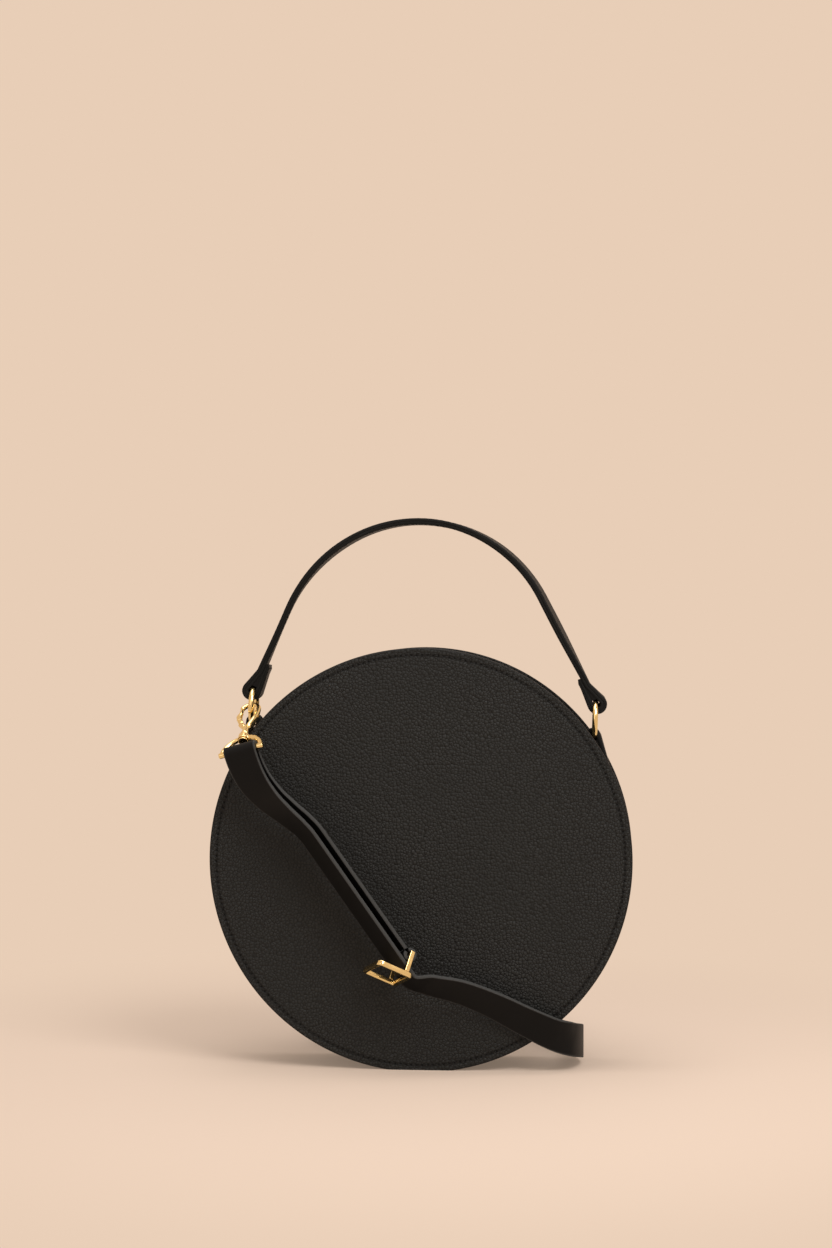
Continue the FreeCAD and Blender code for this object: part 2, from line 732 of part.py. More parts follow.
def claw(side, place):
    """Claw of a swivel hook, with its eye, the gap for the gate and the swivel's stem."""
    body = new_body(f"claw_{side}")
    outline = new_sketch(body, "XY_Plane")
    add_polygon(outline, (
        ("-claw_half", "claw_top"), ("claw_half", "claw_top"), ("claw_half", "-claw_shoulder"),
        ("neck_half", "-claw_throat"), ("neck_half", "-claw_stem"), ("-neck_half", "-claw_stem"),
        ("-neck_half", "-claw_throat"), ("-claw_half", "-claw_shoulder"),
    ))
    block = pad(body, outline, "claw_thickness")
    upright = Vector(0, 0, 1)
    crown = lambda edge: runs_along(edge, upright) and edge.CenterOfMass.y > 0
    rounded = fillet(body, block, crown, f"claw_half * {CLAW_CROWN_SHARE}")
    shoulders = lambda edge: (runs_along(edge, upright) and edge.CenterOfMass.y < 0
                              and edge.CenterOfMass.y > -size("claw_throat + edge_round"))
    rounded = fillet(body, rounded, shoulders, "edge_round * 2")
    neck = lambda edge: runs_along(edge, Vector(0, 1, 0)) and edge.CenterOfMass.y < -size("claw_throat")
    fillet(body, rounded, neck, f"neck_half * {CLAW_NECK_SHARE}")
    eye = new_sketch(body, "XY_Plane")
    add_rectangle(eye, "-claw_eye_half", "-claw_eye_bottom", "claw_eye_half", "claw_eye_top")
    hole = pocket(body, eye, "claw_thickness * 2")
    inside = lambda edge: (runs_along(edge, upright)
                           and abs(abs(edge.CenterOfMass.x) - size("claw_eye_half")) < 0.01
                           and abs(edge.CenterOfMass.y) < size("claw_eye_top + edge_round"))
    fillet(body, hole, inside, f"claw_eye_half * {CLAW_EYE_SHARE}")
    gap = new_sketch(body, "XY_Plane")
    add_rectangle(gap, "claw_eye_half / 2", "-claw_eye_bottom", "claw_half + overrun",
                  "gate_tip + gate_play")
    pocket(body, gap, "claw_thickness * 2")
    slot = new_sketch(body, "XY_Plane")
    add_rectangle(slot, "claw_eye_half / 3", "-claw_shoulder - gate_play", "claw_half + overrun",
                  "-claw_eye_bottom + gate_play")
    pocket(body, slot, "gate_slot")
    bore = new_sketch(body, "XY_Plane")
    add_circle(bore, "gate_offset", "-gate_drop", "pin_radius")
    pocket(body, bore, "claw_thickness * 2")
    stem = new_sketch(body, "XY_Plane")
    add_polygon(stem, (
        ("0", "-claw_stem + edge_round"), ("swivel_radius", "-claw_stem + edge_round"),
        ("swivel_radius", "-stem_end"), ("swivel_head", "-stem_end"),
        ("swivel_head", "-stem_end - swivel_head_length"), ("0", "-stem_end - swivel_head_length"),
    ))
    revolve(body, stem, "V_Axis", "360")
    body.Placement = place


def gate(side, place):
    """Sprung gate that closes the claw, with its thumb lever."""
    body = new_body(f"gate_{side}")
    outline = new_sketch(body, "XY_Plane")
    inner, outer = "gate_offset - gate_bar / 2", "gate_offset + gate_bar / 2"
    add_polygon(outline, (
        (inner, "-gate_drop - gate_bar / 2"), (outer, "-gate_drop - gate_bar / 2"),
        (outer, "-gate_drop + gate_bar"), (f"{outer} + gate_lever", "-gate_drop + gate_bar * 2"),
        (f"{outer} + gate_lever", f"-gate_drop + gate_bar * {GATE_LEVER_SHARE}"),
        (outer, "-gate_drop + gate_bar * 3"),
        (outer, "gate_tip"), (inner, "gate_tip"),
    ))
    block = pad(body, outline, "gate_plate")
    root = lambda edge: runs_along(edge, Vector(0, 0, 1)) and edge.CenterOfMass.y < -size("gate_drop")
    fillet(body, block, root, f"gate_bar * {GATE_ROOT_SHARE}")
    bore = new_sketch(body, "XY_Plane")
    add_circle(bore, "gate_offset", "-gate_drop", "pin_radius + pin_play")
    pocket(body, bore, "gate_plate * 2")
    body.Placement = place


def gate_pin(side, place):
    pin = doc.addObject("Part::Cylinder", f"gate_pin_{side}_cylinder")
    bind(pin, Radius="pin_radius", Height="claw_thickness")
    offset = Vector(size("gate_offset"), -size("gate_drop"), -size("claw_thickness / 2"))
    pin.Placement = place.multiply(FreeCAD.Placement(offset, FreeCAD.Rotation()))
    keep(pin, f"gate_pin_{side}")


def hook_eye(side, place):
    """D-shaped eye for the strap, with the collar that the hook's stem turns in."""
    turned = FreeCAD.Rotation(Vector(1, 0, 0), -90)
    arch = doc.addObject("Part::Torus", f"hook_eye_{side}_arch")
    bind(arch, Radius1="eye_radius", Radius2=f"eye_bar * {EYE_ARCH_SHARE}", Angle3="180",
         Placement__Base__y="-eye_centre")
    bar = doc.addObject("Part::Cylinder", f"hook_eye_{side}_bar")
    bind(bar, Radius="eye_bar / 2", Height="eye_radius * 2 + eye_bar",
         Placement__Base__x="-eye_radius - eye_bar / 2", Placement__Base__y="-eye_centre")
    bar.Placement.Rotation = FreeCAD.Rotation(Vector(0, 1, 0), 90)
    collar = doc.addObject("Part::Cylinder", f"hook_eye_{side}_collar")
    bind(collar, Radius="eye_collar_radius", Height="eye_collar",
         Placement__Base__y="-collar_top - eye_collar")
    collar.Placement.Rotation = turned
    metal = doc.addObject("Part::MultiFuse", f"hook_eye_{side}_metal")
    metal.Shapes = [arch, bar, collar]
    bore = doc.addObject("Part::Cylinder", f"hook_eye_{side}_bore")
    bind(bore, Radius="swivel_radius + swivel_bore_play", Height="eye_collar + overrun * 2",
         Placement__Base__y="-collar_top - eye_collar - overrun")
    bore.Placement.Rotation = turned
    eye = doc.addObject("Part::Cut", f"hook_eye_{side}_cut")
    eye.Base, eye.Tool = metal, bore
    eye.Placement = place
    keep(eye, f"hook_eye_{side}")


def hooks():
    places = (
        ("left", left_hook_place(size("hook_roll_angle")), left_hook_place(size("eye_roll_angle"))),
        ("right", free_hook_place(), free_hook_place()),
    )
    for side, claw_place, eye_place in places:
        claw(side, claw_place)
        gate(side, claw_place)
        gate_pin(side, claw_place)
        hook_eye(side, eye_place)


def leaning(heading, lean):
    """Width direction of a strap that runs along the front, its upper edge leaning out by an angle."""
    turn = math.radians(lean)
    upper = Vector(-heading.z, 0, heading.x)
    return upper * math.cos(turn) - Vector(0, 1, 0) * math.sin(turn)


def adjuster_place():
    """Frame of the adjuster: X across the strap, Y up it, Z out of its face."""
    heading = Vector(ADJUSTER_HEADING_SHARES[0], 0, ADJUSTER_HEADING_SHARES[1]).normalize()
    lean = math.radians(size("adjuster_lean_angle"))
    across = leaning(heading, size("adjuster_lean_angle"))
    reach = (size("slide_half + slide_side") * math.sin(lean)
             + size("bar_level + slide_bar") * math.cos(lean))
    depth = size("half_depth + adjuster_clearance") + reach
    across_share, rise_share = ADJUSTER_SHARES
    place = Vector(across_share * size("panel_radius"), -depth, rise_share * size("panel_radius"))
    return FreeCAD.Placement(place, FreeCAD.Rotation(across, -heading, across.cross(-heading), "XYZ"))


def slide_place():
    """Frame of the slide: its lower end lies on the strap's face and its upper end stands off."""
    lower_end = Vector(0, -size("bar_run"), size("slide_level"))
    tilt = FreeCAD.Rotation(Vector(1, 0, 0), size("adjuster_pitch_angle"))
    return adjuster_place().multiply(FreeCAD.Placement(lower_end, tilt))


def adjuster():
    """Slide on the strap: a flat frame in front, a bar behind, and the strap's end sewn round the bar."""
    place = slide_place()
    frame = new_body("slide_frame")
    outer = new_sketch(frame, "XY_Plane", "slide_plate / 2")
    add_rectangle(outer, "-slide_half - slide_side", "0", "slide_half + slide_side", "slide_length")
    add_rectangle(outer, "-slide_half", "slide_side", "slide_half", "slide_length - slide_side")
    plate = pad(frame, outer, "slide_plate")
    limit = size("slide_half + slide_side / 2")
    corners = lambda edge: runs_along(edge, Vector(0, 0, 1)) and abs(edge.CenterOfMass.x) > limit
    rounded = fillet(frame, plate, corners, f"slide_side * {SLIDE_CORNER_SHARE}")
    front = size("slide_plate")
    brow = lambda edge: abs(edge.BoundBox.ZMin - front) < 1e-6 and abs(edge.BoundBox.ZMax - front) < 1e-6
    fillet(frame, rounded, brow, "edge_round")
    frame.Placement = place

    bar = new_body("slide_bar")
    side = new_sketch(bar, "XZ_Plane", "-slide_arm")
    add_polygon(side, (
        ("-slide_half - slide_side", "0"), ("-slide_half", "0"),
        ("-slide_half", "-bar_drop + slide_bar / 2"), ("slide_half", "-bar_drop + slide_bar / 2"),
        ("slide_half", "0"), ("slide_half + slide_side", "0"),
        ("slide_half + slide_side", "-bar_drop - slide_bar / 2"),
        ("-slide_half - slide_side", "-bar_drop - slide_bar / 2"),
    ))
    block = pad(bar, side, "slide_bar")
    long_edges = lambda edge: runs_along(edge, Vector(1, 0, 0)) and edge.Length > size("slide_half")
    fillet(bar, block, long_edges, "edge_round / 2")
    bar.Placement = place

    tube = doc.addObject("Part::Cylinder", "strap_end_loop_tube")
    bind(tube, Radius="loop_outer", Height="strap_width",
         Placement__Base__x="-strap_width / 2", Placement__Base__y="slide_arm",
         Placement__Base__z="-bar_drop")
    tube.Placement.Rotation = FreeCAD.Rotation(Vector(0, 1, 0), 90)
    bore = doc.addObject("Part::Cylinder", "strap_end_loop_bore")
    bind(bore, Radius="loop_bore", Height="strap_width + overrun * 2",
         Placement__Base__x="-strap_width / 2 - overrun", Placement__Base__y="slide_arm",
         Placement__Base__z="-bar_drop")
    bore.Placement.Rotation = FreeCAD.Rotation(Vector(0, 1, 0), 90)
    loop = doc.addObject("Part::Cut", "strap_end_loop_cut")
    loop.Base, loop.Tool = tube, bore
    loop.Placement = place
    keep(loop, "strap_end_loop")


def strap_solid(stations):
    """Strap through stations, each a middle point and a width direction, as a ruled loft."""
    half_width, half = size("strap_width") / 2, size("strap_leather") / 2
    wires, length = [], 0.0
    for index, (middle, across) in enumerate(stations):
        before = stations[max(index - 1, 0)][0]
        after = stations[min(index + 1, len(stations) - 1)][0]
        heading = (after - before).normalize()
        across = (across - heading * across.dot(heading)).normalize()
        out = across.cross(heading)
        corners = [middle + across * half_width * wide + out * half * thick
                   for wide, thick in ((1, 1), (-1, 1), (-1, -1), (1, -1))]
        wires.append(Part.makePolygon(corners + corners[:1]))
        length += middle.distanceToPoint(before)
    solid = Part.makeLoft(wires, True, True)
    return solid, length


def smoothed(stations, first, last):
    """Stations with more put in between them on a smooth curve that starts and ends in given directions."""
    middles = [middle for middle, across in stations]
    spans = [end.distanceToPoint(start) for start, end in zip(middles, middles[1:])]
    slopes = [(end - start) * (1 / span) for start, end, span in zip(middles, middles[1:], spans)]
    tangents = [first]
    for index in range(1, len(spans)):
        before, after = spans[index - 1], spans[index]
        tangents.append((slopes[index - 1] * after + slopes[index] * before) * (1 / (before + after)))
    tangents.append(last)
    dense = [stations[0]]
    for index, span in enumerate(spans):
        for step in range(1, CURVE_STEPS + 1):
            share = step / CURVE_STEPS
            ease = share * share * (3 - 2 * share)
            middle = (middles[index] * (1 - ease) + middles[index + 1] * ease
                      + tangents[index] * (span * share * (1 - share) ** 2)
                      - tangents[index + 1] * (span * share ** 2 * (1 - share)))
            across = stations[index][1] * (1 - share) + stations[index + 1][1] * share
            dense.append((middle, across))
    return dense


def bar_wrap(bar, across, start, turn, lead):
    """Stations of half a turn of strap round a bar and of a lead before it."""
    radius = size("eye_bar / 2 + strap_play + strap_leather / 2")
    stations = []
    for step in range(WRAP_STEPS + 1):
        angle = (math.pi + lead) * step / WRAP_STEPS - lead
        stations.append((bar + (start * math.cos(angle) + turn * math.sin(angle)) * radius, across))
    return stations


def hook_end_frame():
    """Bar of the clipped hook's eye: its middle, its direction, and the way that the strap hangs from it."""
    place = left_hook_place(size("eye_roll_angle"))
    bar = place.multVec(Vector(0, -size("eye_centre"), 0))
    across = place.Rotation.multVec(Vector(1, 0, 0))
    run_top = adjuster_place().multVec(Vector(0, size("adjuster_run"), 0))
    down = run_top - bar
    down = (down - across * down.dot(across)).normalize()
    return bar, across, down


def run_stations(level):
    """Stations from the clipped hook down the doubled run, at a level in the adjuster's frame."""
    bar, bar_across, down = hook_end_frame()
    place = adjuster_place()
    out = down.cross(bar_across)
    radius = size("eye_bar / 2 + strap_play + strap_leather / 2")
    start = bar + out * radius
    if level < 0:
        start = bar - out * radius + down * size("strap_leather / 3")
    across = place.Rotation.multVec(Vector(1, 0, 0))
    top = place.multVec(Vector(0, size("adjuster_run"), level))
    span = start.distanceToPoint(top)
    stations = [(start, bar_across)]
    heading = place.Rotation.multVec(Vector(0, -1, 0))
    for share in RUN_SHARES:
        ease = share * share * (3 - 2 * share)
        leave, arrive = start + down * span * share, top - heading * span * (1 - share)
        middle = leave * (1 - ease) + arrive * ease
        stations.append((middle, bar_across * (1 - ease) + across * ease))
    return smoothed(stations, down, heading)


def strap_back_run():
    """Hidden layer of the doubled run, from the hook down to the loop on the adjuster's bar."""
    place = adjuster_place()
    level = -size("bar_level")
    across = place.Rotation.multVec(Vector(1, 0, 0))
    stations = run_stations(level)
    foot = size("loop_outer + slide_play")
    stations.append((place.multVec(Vector(0, foot, level)), across))
    solid, length = strap_solid(stations)
    new_shape("strap_back_run", solid)
    return length


def strap():
    """The strap from the clipped hook down through the adjuster, round the bag and to the free hook."""
    radius, half_depth = size("panel_radius"), size("half_depth")
    half_width, half, floor = size("strap_width") / 2, size("strap_leather") / 2, size("floor_play")
    upright = Vector(0, 0, 1)
    bar, bar_across, down = hook_end_frame()
    stations = bar_wrap(bar, bar_across, bar_across.cross(down), down * -1, 0)
    stations += run_stations(0)[1:]
    place = adjuster_place()
    across = place.Rotation.multVec(Vector(1, 0, 0))
    flow = [(place.multVec(Vector(0, -size("slide_length") / 2, 0)), across)]

    points = [Vector(across * radius, 0, up * radius) for across, up, lean in FACE_RUN_SHARES]
    for index, (across, up, lean) in enumerate(FACE_RUN_SHARES):
        before, after = points[max(index - 1, 0)], points[min(index + 1, len(points) - 1)]
        width = leaning((after - before).normalize(), lean)
        fade = index / (len(points) - 1)
        stand = size("strap_clearance") + size("bar_level") * (1 - fade) ** 2
        depth = half_depth + stand + abs(width.y) * half_width + half
        flow.append((points[index] - Vector(0, depth, 0), width))
    for across, depth, rise in SIDE_TURN_SHARES:
        flow.append((Vector(across * radius, depth * half_depth, half_width + rise * radius), upright))
    for across, depth in BACK_LOOP_SHARES:
        flow.append((Vector(across * radius, half_depth + depth * radius, half_width + floor), upright))

    hook = free_hook_bar()
    last = flow[-1][0]
    wrap_radius = size("eye_bar / 2 + strap_play + strap_leather / 2")
    along, side = Vector(1, 0, 0), Vector(0, -1, 0)
    landing = hook - along * size("strap_tail") * LANDING_SHARE
    stations += smoothed(flow, place.Rotation.multVec(Vector(0, -1, 0)), along)
    for step in range(1, TWIST_STEPS + 1):
        share = step / TWIST_STEPS
        turn = math.pi / 2 * share * share * (3 - 2 * share)
        middle = last + (landing - last) * share
        middle.z = floor + half_width * math.cos(turn) + half * math.sin(turn)
        stations.append((middle, upright * math.cos(turn) + side * math.sin(turn)))
    over_tail = hook - along * size("strap_tail + strap_leather / 2")
    over_tail.z = size("floor_play + strap_leather * 1.5 + strap_play / 2")
    stations.append((over_tail, side))
    lead = math.atan2(hook.z + wrap_radius - over_tail.z, hook.x - over_tail.x)
    stations += bar_wrap(hook, side, upright, along, lead)
    tail = hook - upright * wrap_radius - along * size("strap_tail")
    stations.append((tail, side))
    solid, length = strap_solid(stations)
    new_shape("shoulder_strap", solid)
    return length


def check_and_write():
    """Stop on any failed feature or bad solid, then write one file for each sub-part."""
    failed = [item.Label for item in doc.Objects if {"Invalid", "Error"} & set(item.State)]
    if failed:
        raise RuntimeError(f"features failed: {failed}")
    for thing in subparts:
        if thing.Shape.isNull() or not thing.Shape.isValid():
            raise RuntimeError(f"bad solid: {thing.Label}")
    os.makedirs("parts", exist_ok=True)
    for thing in subparts:
        thing.Shape.exportStep(f"parts/{thing.Label}.step")
        print(f"{thing.Label}: {len(thing.Shape.Solids)} solid(s), {thing.Shape.Volume:.1f} mm3")


panels_and_boards()
gusset()
slip_pocket()
zip_strips_and_tapes()
zip_teeth()
zip_slider()
zip_pull()
rings()
handle()
tabs()
hooks()
adjuster()
back_length = strap_back_run()
front_length = strap()
doc.recompute()
check_and_write()
print(f"strap length {back_length + front_length:.0f} mm")
print(f"back layer of the doubled run {back_length:.0f} mm")
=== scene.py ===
import math

import bmesh
import bpy
from mathutils import Matrix, Vector, noise


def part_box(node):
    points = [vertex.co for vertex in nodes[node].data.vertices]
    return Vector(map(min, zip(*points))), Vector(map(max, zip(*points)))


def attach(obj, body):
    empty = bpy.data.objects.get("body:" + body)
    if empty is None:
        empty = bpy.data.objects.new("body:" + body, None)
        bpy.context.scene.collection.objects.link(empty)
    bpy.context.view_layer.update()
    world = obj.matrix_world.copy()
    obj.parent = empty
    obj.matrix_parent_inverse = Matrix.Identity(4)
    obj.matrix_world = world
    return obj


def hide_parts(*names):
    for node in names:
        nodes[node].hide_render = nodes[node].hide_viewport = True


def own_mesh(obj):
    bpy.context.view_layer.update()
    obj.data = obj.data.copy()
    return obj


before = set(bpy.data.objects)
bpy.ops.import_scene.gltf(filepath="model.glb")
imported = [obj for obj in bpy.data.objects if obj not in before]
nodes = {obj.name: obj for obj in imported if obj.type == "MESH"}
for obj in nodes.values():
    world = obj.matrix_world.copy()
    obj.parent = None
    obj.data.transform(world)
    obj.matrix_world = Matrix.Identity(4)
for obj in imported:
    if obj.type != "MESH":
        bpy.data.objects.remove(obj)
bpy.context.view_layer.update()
mm = 0.001
up = Vector((0, 0, 1))
back = Vector((0, 1, 0))


def eased(share):  # slow at both ends
    return share * share * (3 - 2 * share)


def onlyVerts(geometry):
    return [item for item in geometry if isinstance(item, bmesh.types.BMVert)]


# sizes that several pieces share, as in the solids
bag = {
    "radius": 105 * mm,
    "halfDepth": 21 * mm,
    "footWidth": 32 * mm,
    "panelSkin": 2.0 * mm,
    "gussetSkin": 1.6 * mm,
    "seamFlange": 5 * mm,
    "zipAngle": 50,
    "mouthHalf": 12 * mm,
}
bag["centre"] = Vector((0, 0, math.sqrt(bag["radius"] ** 2 - bag["footWidth"] ** 2 / 4)))
bag["webRadius"] = bag["radius"] - bag["seamFlange"]
bag["webInner"] = bag["webRadius"] - bag["gussetSkin"]
bag["gussetHalf"] = bag["halfDepth"] - bag["panelSkin"]

rings = {
    "barRadius": 1.4 * mm,
    "barSides": 20,
    "radius": 9.2 * mm,
    "steps": 72,
    "loopPlay": 0.3 * mm,
    "leftAngle": 48.67,
    "leftLift": 14.4 * mm,
    "rightAngle": 51.42,
    "rightLift": 10.65 * mm,
}
for side, sign in (("left", -1), ("right", 1)):
    turn = math.radians(rings[side + "Angle"])
    reach = bag["webRadius"] + rings[side + "Lift"]
    rings[side] = bag["centre"] + Vector((sign * math.sin(turn), 0, math.cos(turn))) * reach
rings["axis"] = (rings["right"] - rings["left"]).normalized()
rings["up"] = rings["axis"].cross(back).normalized()


def hexColour(text):
    def channel(pair):
        value = int(pair, 16) / 255
        return value / 12.92 if value <= 0.04045 else ((value + 0.055) / 1.055) ** 2.4
    return (channel(text[0:2]), channel(text[2:4]), channel(text[4:6]), 1)


def addNode(tree, kind, inputs=None, **settings):
    node = tree.nodes.new("ShaderNode" + kind)
    for name, value in settings.items():
        setattr(node, name, value)
    for name, value in (inputs or {}).items():
        if isinstance(value, bpy.types.NodeSocket):
            tree.links.new(value, node.inputs[name])
        else:
            node.inputs[name].default_value = value
    return node


def newMaterial(name, **values):
    material = bpy.data.materials.new(name)
    material.use_nodes = True
    tree = material.node_tree
    shader = tree.nodes["Principled BSDF"]
    for key, value in values.items():
        shader.inputs[key].default_value = value
    return material, tree, shader


def joinShader(tree, shader, sockets):
    for name, socket in sockets.items():
        tree.links.new(socket, shader.inputs[name])


def makePebbledLeather():  # drum-milled calf: raised pebbles with fine creases, low sheen, painted cut edges; the colour also carries painted shade in the creases, the stitch holes and the stitch channel
    look = {
        "pebble": 1.5 * mm,  # a little coarser than the real grain, so that it shows
        "pore": 0.45 * mm,
        "wave": 40 * mm,
        "bend": 1.4 * mm,
        "bendScale": 0.35,
        "crease": 0.2,
        "domeFall": -1.3,
        "creaseRise": 0.4,
        "poreRise": 0.22,
        "relief": 0.34 * mm,
        "holeDull": 0.3,
    }
    material, tree, shader = newMaterial("pebbledCalfLeather", Metallic=0, IOR=1.45,
                                         **{"Specular IOR Level": 0.22})
    place = addNode(tree, "TexCoord").outputs["Object"]
    warp = addNode(tree, "TexNoise", {"Vector": place, "Scale": look["bendScale"] / look["pebble"],
                                       "Detail": 2})
    bent = addNode(tree, "MixRGB", {"Fac": look["bend"], "Color1": place, "Color2": warp.outputs["Color"]},
                   blend_type="ADD").outputs["Color"]
    creases = addNode(tree, "TexVoronoi", {"Vector": bent, "Scale": 1 / look["pebble"]},
                      feature="DISTANCE_TO_EDGE")
    valley = addNode(tree, "MapRange", {"Value": creases.outputs["Distance"], "From Min": 0.0,
                                        "From Max": look["crease"]}, interpolation_type="SMOOTHSTEP")
    pebbles = addNode(tree, "TexVoronoi", {"Vector": bent, "Scale": 1 / look["pebble"]}, feature="F1")
    pores = addNode(tree, "TexNoise", {"Vector": place, "Scale": 1 / look["pore"], "Detail": 3,
                                        "Roughness": 0.6})
    hide = addNode(tree, "TexNoise", {"Vector": place, "Scale": 1 / look["wave"], "Detail": 3})
    fall = addNode(tree, "Math", {0: pebbles.outputs["Distance"], 1: 2}, operation="POWER")
    dome = addNode(tree, "Math", {0: fall.outputs["Value"], 1: look["domeFall"], 2: 1},
                   operation="MULTIPLY_ADD")
    mound = addNode(tree, "Math", {0: valley.outputs["Result"], 1: look["creaseRise"],
                                   2: dome.outputs["Value"]}, operation="MULTIPLY_ADD")
    grain = addNode(tree, "Math", {0: pores.outputs["Fac"], 1: look["poreRise"], 2: mound.outputs["Value"]},
                    operation="MULTIPLY_ADD")
    painted = addNode(tree, "Attribute", attribute_name="edgeShare").outputs["Fac"]
    holeShade = addNode(tree, "Attribute", attribute_name="holeAndChannelShade").outputs["Fac"]
    # the ramp colours the creases between pebbles darker than their tops: painted shade in the grain's
    # creases
    tone = addNode(tree, "ValToRGB", {"Fac": valley.outputs["Result"]})
    tone.color_ramp.elements[0].color = hexColour("0c0d0d")
    tone.color_ramp.elements[1].color = hexColour("2b2c2b")
    worn = addNode(tree, "MixRGB", {"Fac": hide.outputs["Fac"], "Color1": tone.outputs["Color"],
                                    "Color2": hexColour("1f201f")})
    edged = addNode(tree, "MixRGB", {"Fac": painted, "Color1": worn.outputs["Color"],
                                     "Color2": hexColour("1c1a19")})
    # needle holes and the stitch channel are coloured near-black: painted shade in these recesses
    shadedHoles = addNode(tree, "MixRGB", {"Fac": holeShade, "Color1": edged.outputs["Color"],
                                     "Color2": hexColour("040404")})
    gloss = addNode(tree, "MapRange", {"Value": hide.outputs["Fac"], "From Min": 0.3, "From Max": 0.7,
                                       "To Min": 0.46, "To Max": 0.58})
    dulled = addNode(tree, "Math", {0: holeShade, 1: look["holeDull"], 2: gloss.outputs["Result"]},
                     operation="MULTIPLY_ADD", use_clamp=True)
    smooth = addNode(tree, "Math", {0: 1.0, 1: painted}, operation="SUBTRACT")
    height = addNode(tree, "Math", {0: grain.outputs["Value"], 1: smooth.outputs["Value"]},
                     operation="MULTIPLY")
    bump = addNode(tree, "Bump", {"Height": height.outputs["Value"], "Strength": 1.0,
                                  "Distance": look["relief"]})
    joinShader(tree, shader, {"Base Color": shadedHoles.outputs["Color"], "Roughness": dulled.outputs["Value"],
                              "Normal": bump.outputs["Normal"]})
    return material


def makeStrapLeather(name, edgePaintAndHighlight):  # smooth calf with painted raw edges, low sheen and a fine grain; a light edge colour stands partly for edge paint and partly for a painted highlight on the lit edges
    look = {"grain": 0.7 * mm, "cloud": 18 * mm, "relief": 0.1 * mm, "edge": (0.90, 0.97),
            "gloss": (0.5, 0.66)}
    material, tree, shader = newMaterial(name, Metallic=0, IOR=1.45, **{"Specular IOR Level": 0.15})
    place = addNode(tree, "TexCoord").outputs["Object"]
    grain = addNode(tree, "TexVoronoi", {"Vector": place, "Scale": 1 / look["grain"]},
                    feature="DISTANCE_TO_EDGE")
    cloud = addNode(tree, "TexNoise", {"Vector": place, "Scale": 1 / look["cloud"], "Detail": 4})
    edge = addNode(tree, "Attribute", attribute_name="edgeShare")
    painted = addNode(tree, "MapRange", {"Value": edge.outputs["Fac"], "From Min": look["edge"][0],
                                         "From Max": look["edge"][1]}).outputs["Result"]
    face = addNode(tree, "MixRGB", {"Fac": cloud.outputs["Fac"], "Color1": hexColour("0a0a0a"),
                                    "Color2": hexColour("111111")})
    colour = addNode(tree, "MixRGB", {"Fac": painted, "Color1": face.outputs["Color"],
                                      "Color2": hexColour(edgePaintAndHighlight)})
    gloss = addNode(tree, "MapRange", {"Value": painted, "To Min": look["gloss"][0],
                                       "To Max": look["gloss"][1]})
    bump = addNode(tree, "Bump", {"Height": grain.outputs["Distance"], "Strength": 0.25,
                                  "Distance": look["relief"]})
    joinShader(tree, shader, {"Base Color": colour.outputs["Color"], "Roughness": gloss.outputs["Result"],
                              "Normal": bump.outputs["Normal"]})
    return material


def makeGold():  # zinc castings polished and plated pale gold: mirror-like with faint smears from handling
    look = {"smear": 6 * mm, "ripple": 2.5 * mm, "relief": 0.1 * mm, "gloss": (0.10, 0.2)}
    material, tree, shader = newMaterial("polishedGoldPlate", Metallic=1)
    shader.inputs["Base Color"].default_value = hexColour("f0d79a")
    place = addNode(tree, "TexCoord").outputs["Object"]
    smear = addNode(tree, "TexNoise", {"Vector": place, "Scale": 1 / look["smear"], "Detail": 3})
    gloss = addNode(tree, "MapRange", {"Value": smear.outputs["Fac"], "From Min": 0.3, "From Max": 0.7,
                                       "To Min": look["gloss"][0], "To Max": look["gloss"][1]})
    ripple = addNode(tree, "TexNoise", {"Vector": place, "Scale": 1 / look["ripple"], "Detail": 1})
    bump = addNode(tree, "Bump", {"Height": ripple.outputs["Fac"], "Strength": 0.12,
                                  "Distance": look["relief"]})
    joinShader(tree, shader, {"Roughness": gloss.outputs["Result"], "Normal": bump.outputs["Normal"]})
    return material


def makeThread():  # bonded nylon thread: twisted plies with a faint waxy sheen
    look = {"fibre": 0.5 * mm, "relief": 0.1 * mm}
    material, tree, shader = newMaterial("bondedNylonThread", Metallic=0, IOR=1.53, Roughness=0.6,
                                         **{"Specular IOR Level": 0.2})
    place = addNode(tree, "TexCoord").outputs["Object"]
    fuzz = addNode(tree, "TexNoise", {"Vector": place, "Scale": 1 / look["fibre"], "Detail": 2})
    tone = addNode(tree, "MixRGB", {"Fac": fuzz.outputs["Fac"], "Color1": hexColour("0e0e0d"),
                                    "Color2": hexColour("1d1c1b")})
    bump = addNode(tree, "Bump", {"Height": fuzz.outputs["Fac"], "Strength": 0.5, "Distance": look["relief"]})
    joinShader(tree, shader, {"Base Color": tone.outputs["Color"], "Normal": bump.outputs["Normal"]})
    return material


def makeCloth(name, light, dark, spacing):  # plain weave: over-and-under threads, matt
    look = {"waveBand": 0.314, "relief": 0.15 * mm}  # a wave texture's band at scale 1
    material, tree, shader = newMaterial(name, Metallic=0, IOR=1.5, Roughness=0.85, **{"Sheen Weight": 0.15})
    place = addNode(tree, "UVMap").outputs["UV"]
    warp, weft = [addNode(tree, "TexWave", {"Vector": place, "Scale": look["waveBand"] / spacing},
                          bands_direction=direction) for direction in "XY"]
    weave = addNode(tree, "Math", {0: warp.outputs["Fac"], 1: weft.outputs["Fac"]}, operation="MULTIPLY")
    tone = addNode(tree, "MixRGB", {"Fac": weave.outputs["Value"], "Color1": hexColour(dark),
                                    "Color2": hexColour(light)})
    bump = addNode(tree, "Bump", {"Height": weave.outputs["Value"], "Strength": 0.6,
                                  "Distance": look["relief"]})
    joinShader(tree, shader, {"Base Color": tone.outputs["Color"], "Normal": bump.outputs["Normal"]})
    return material


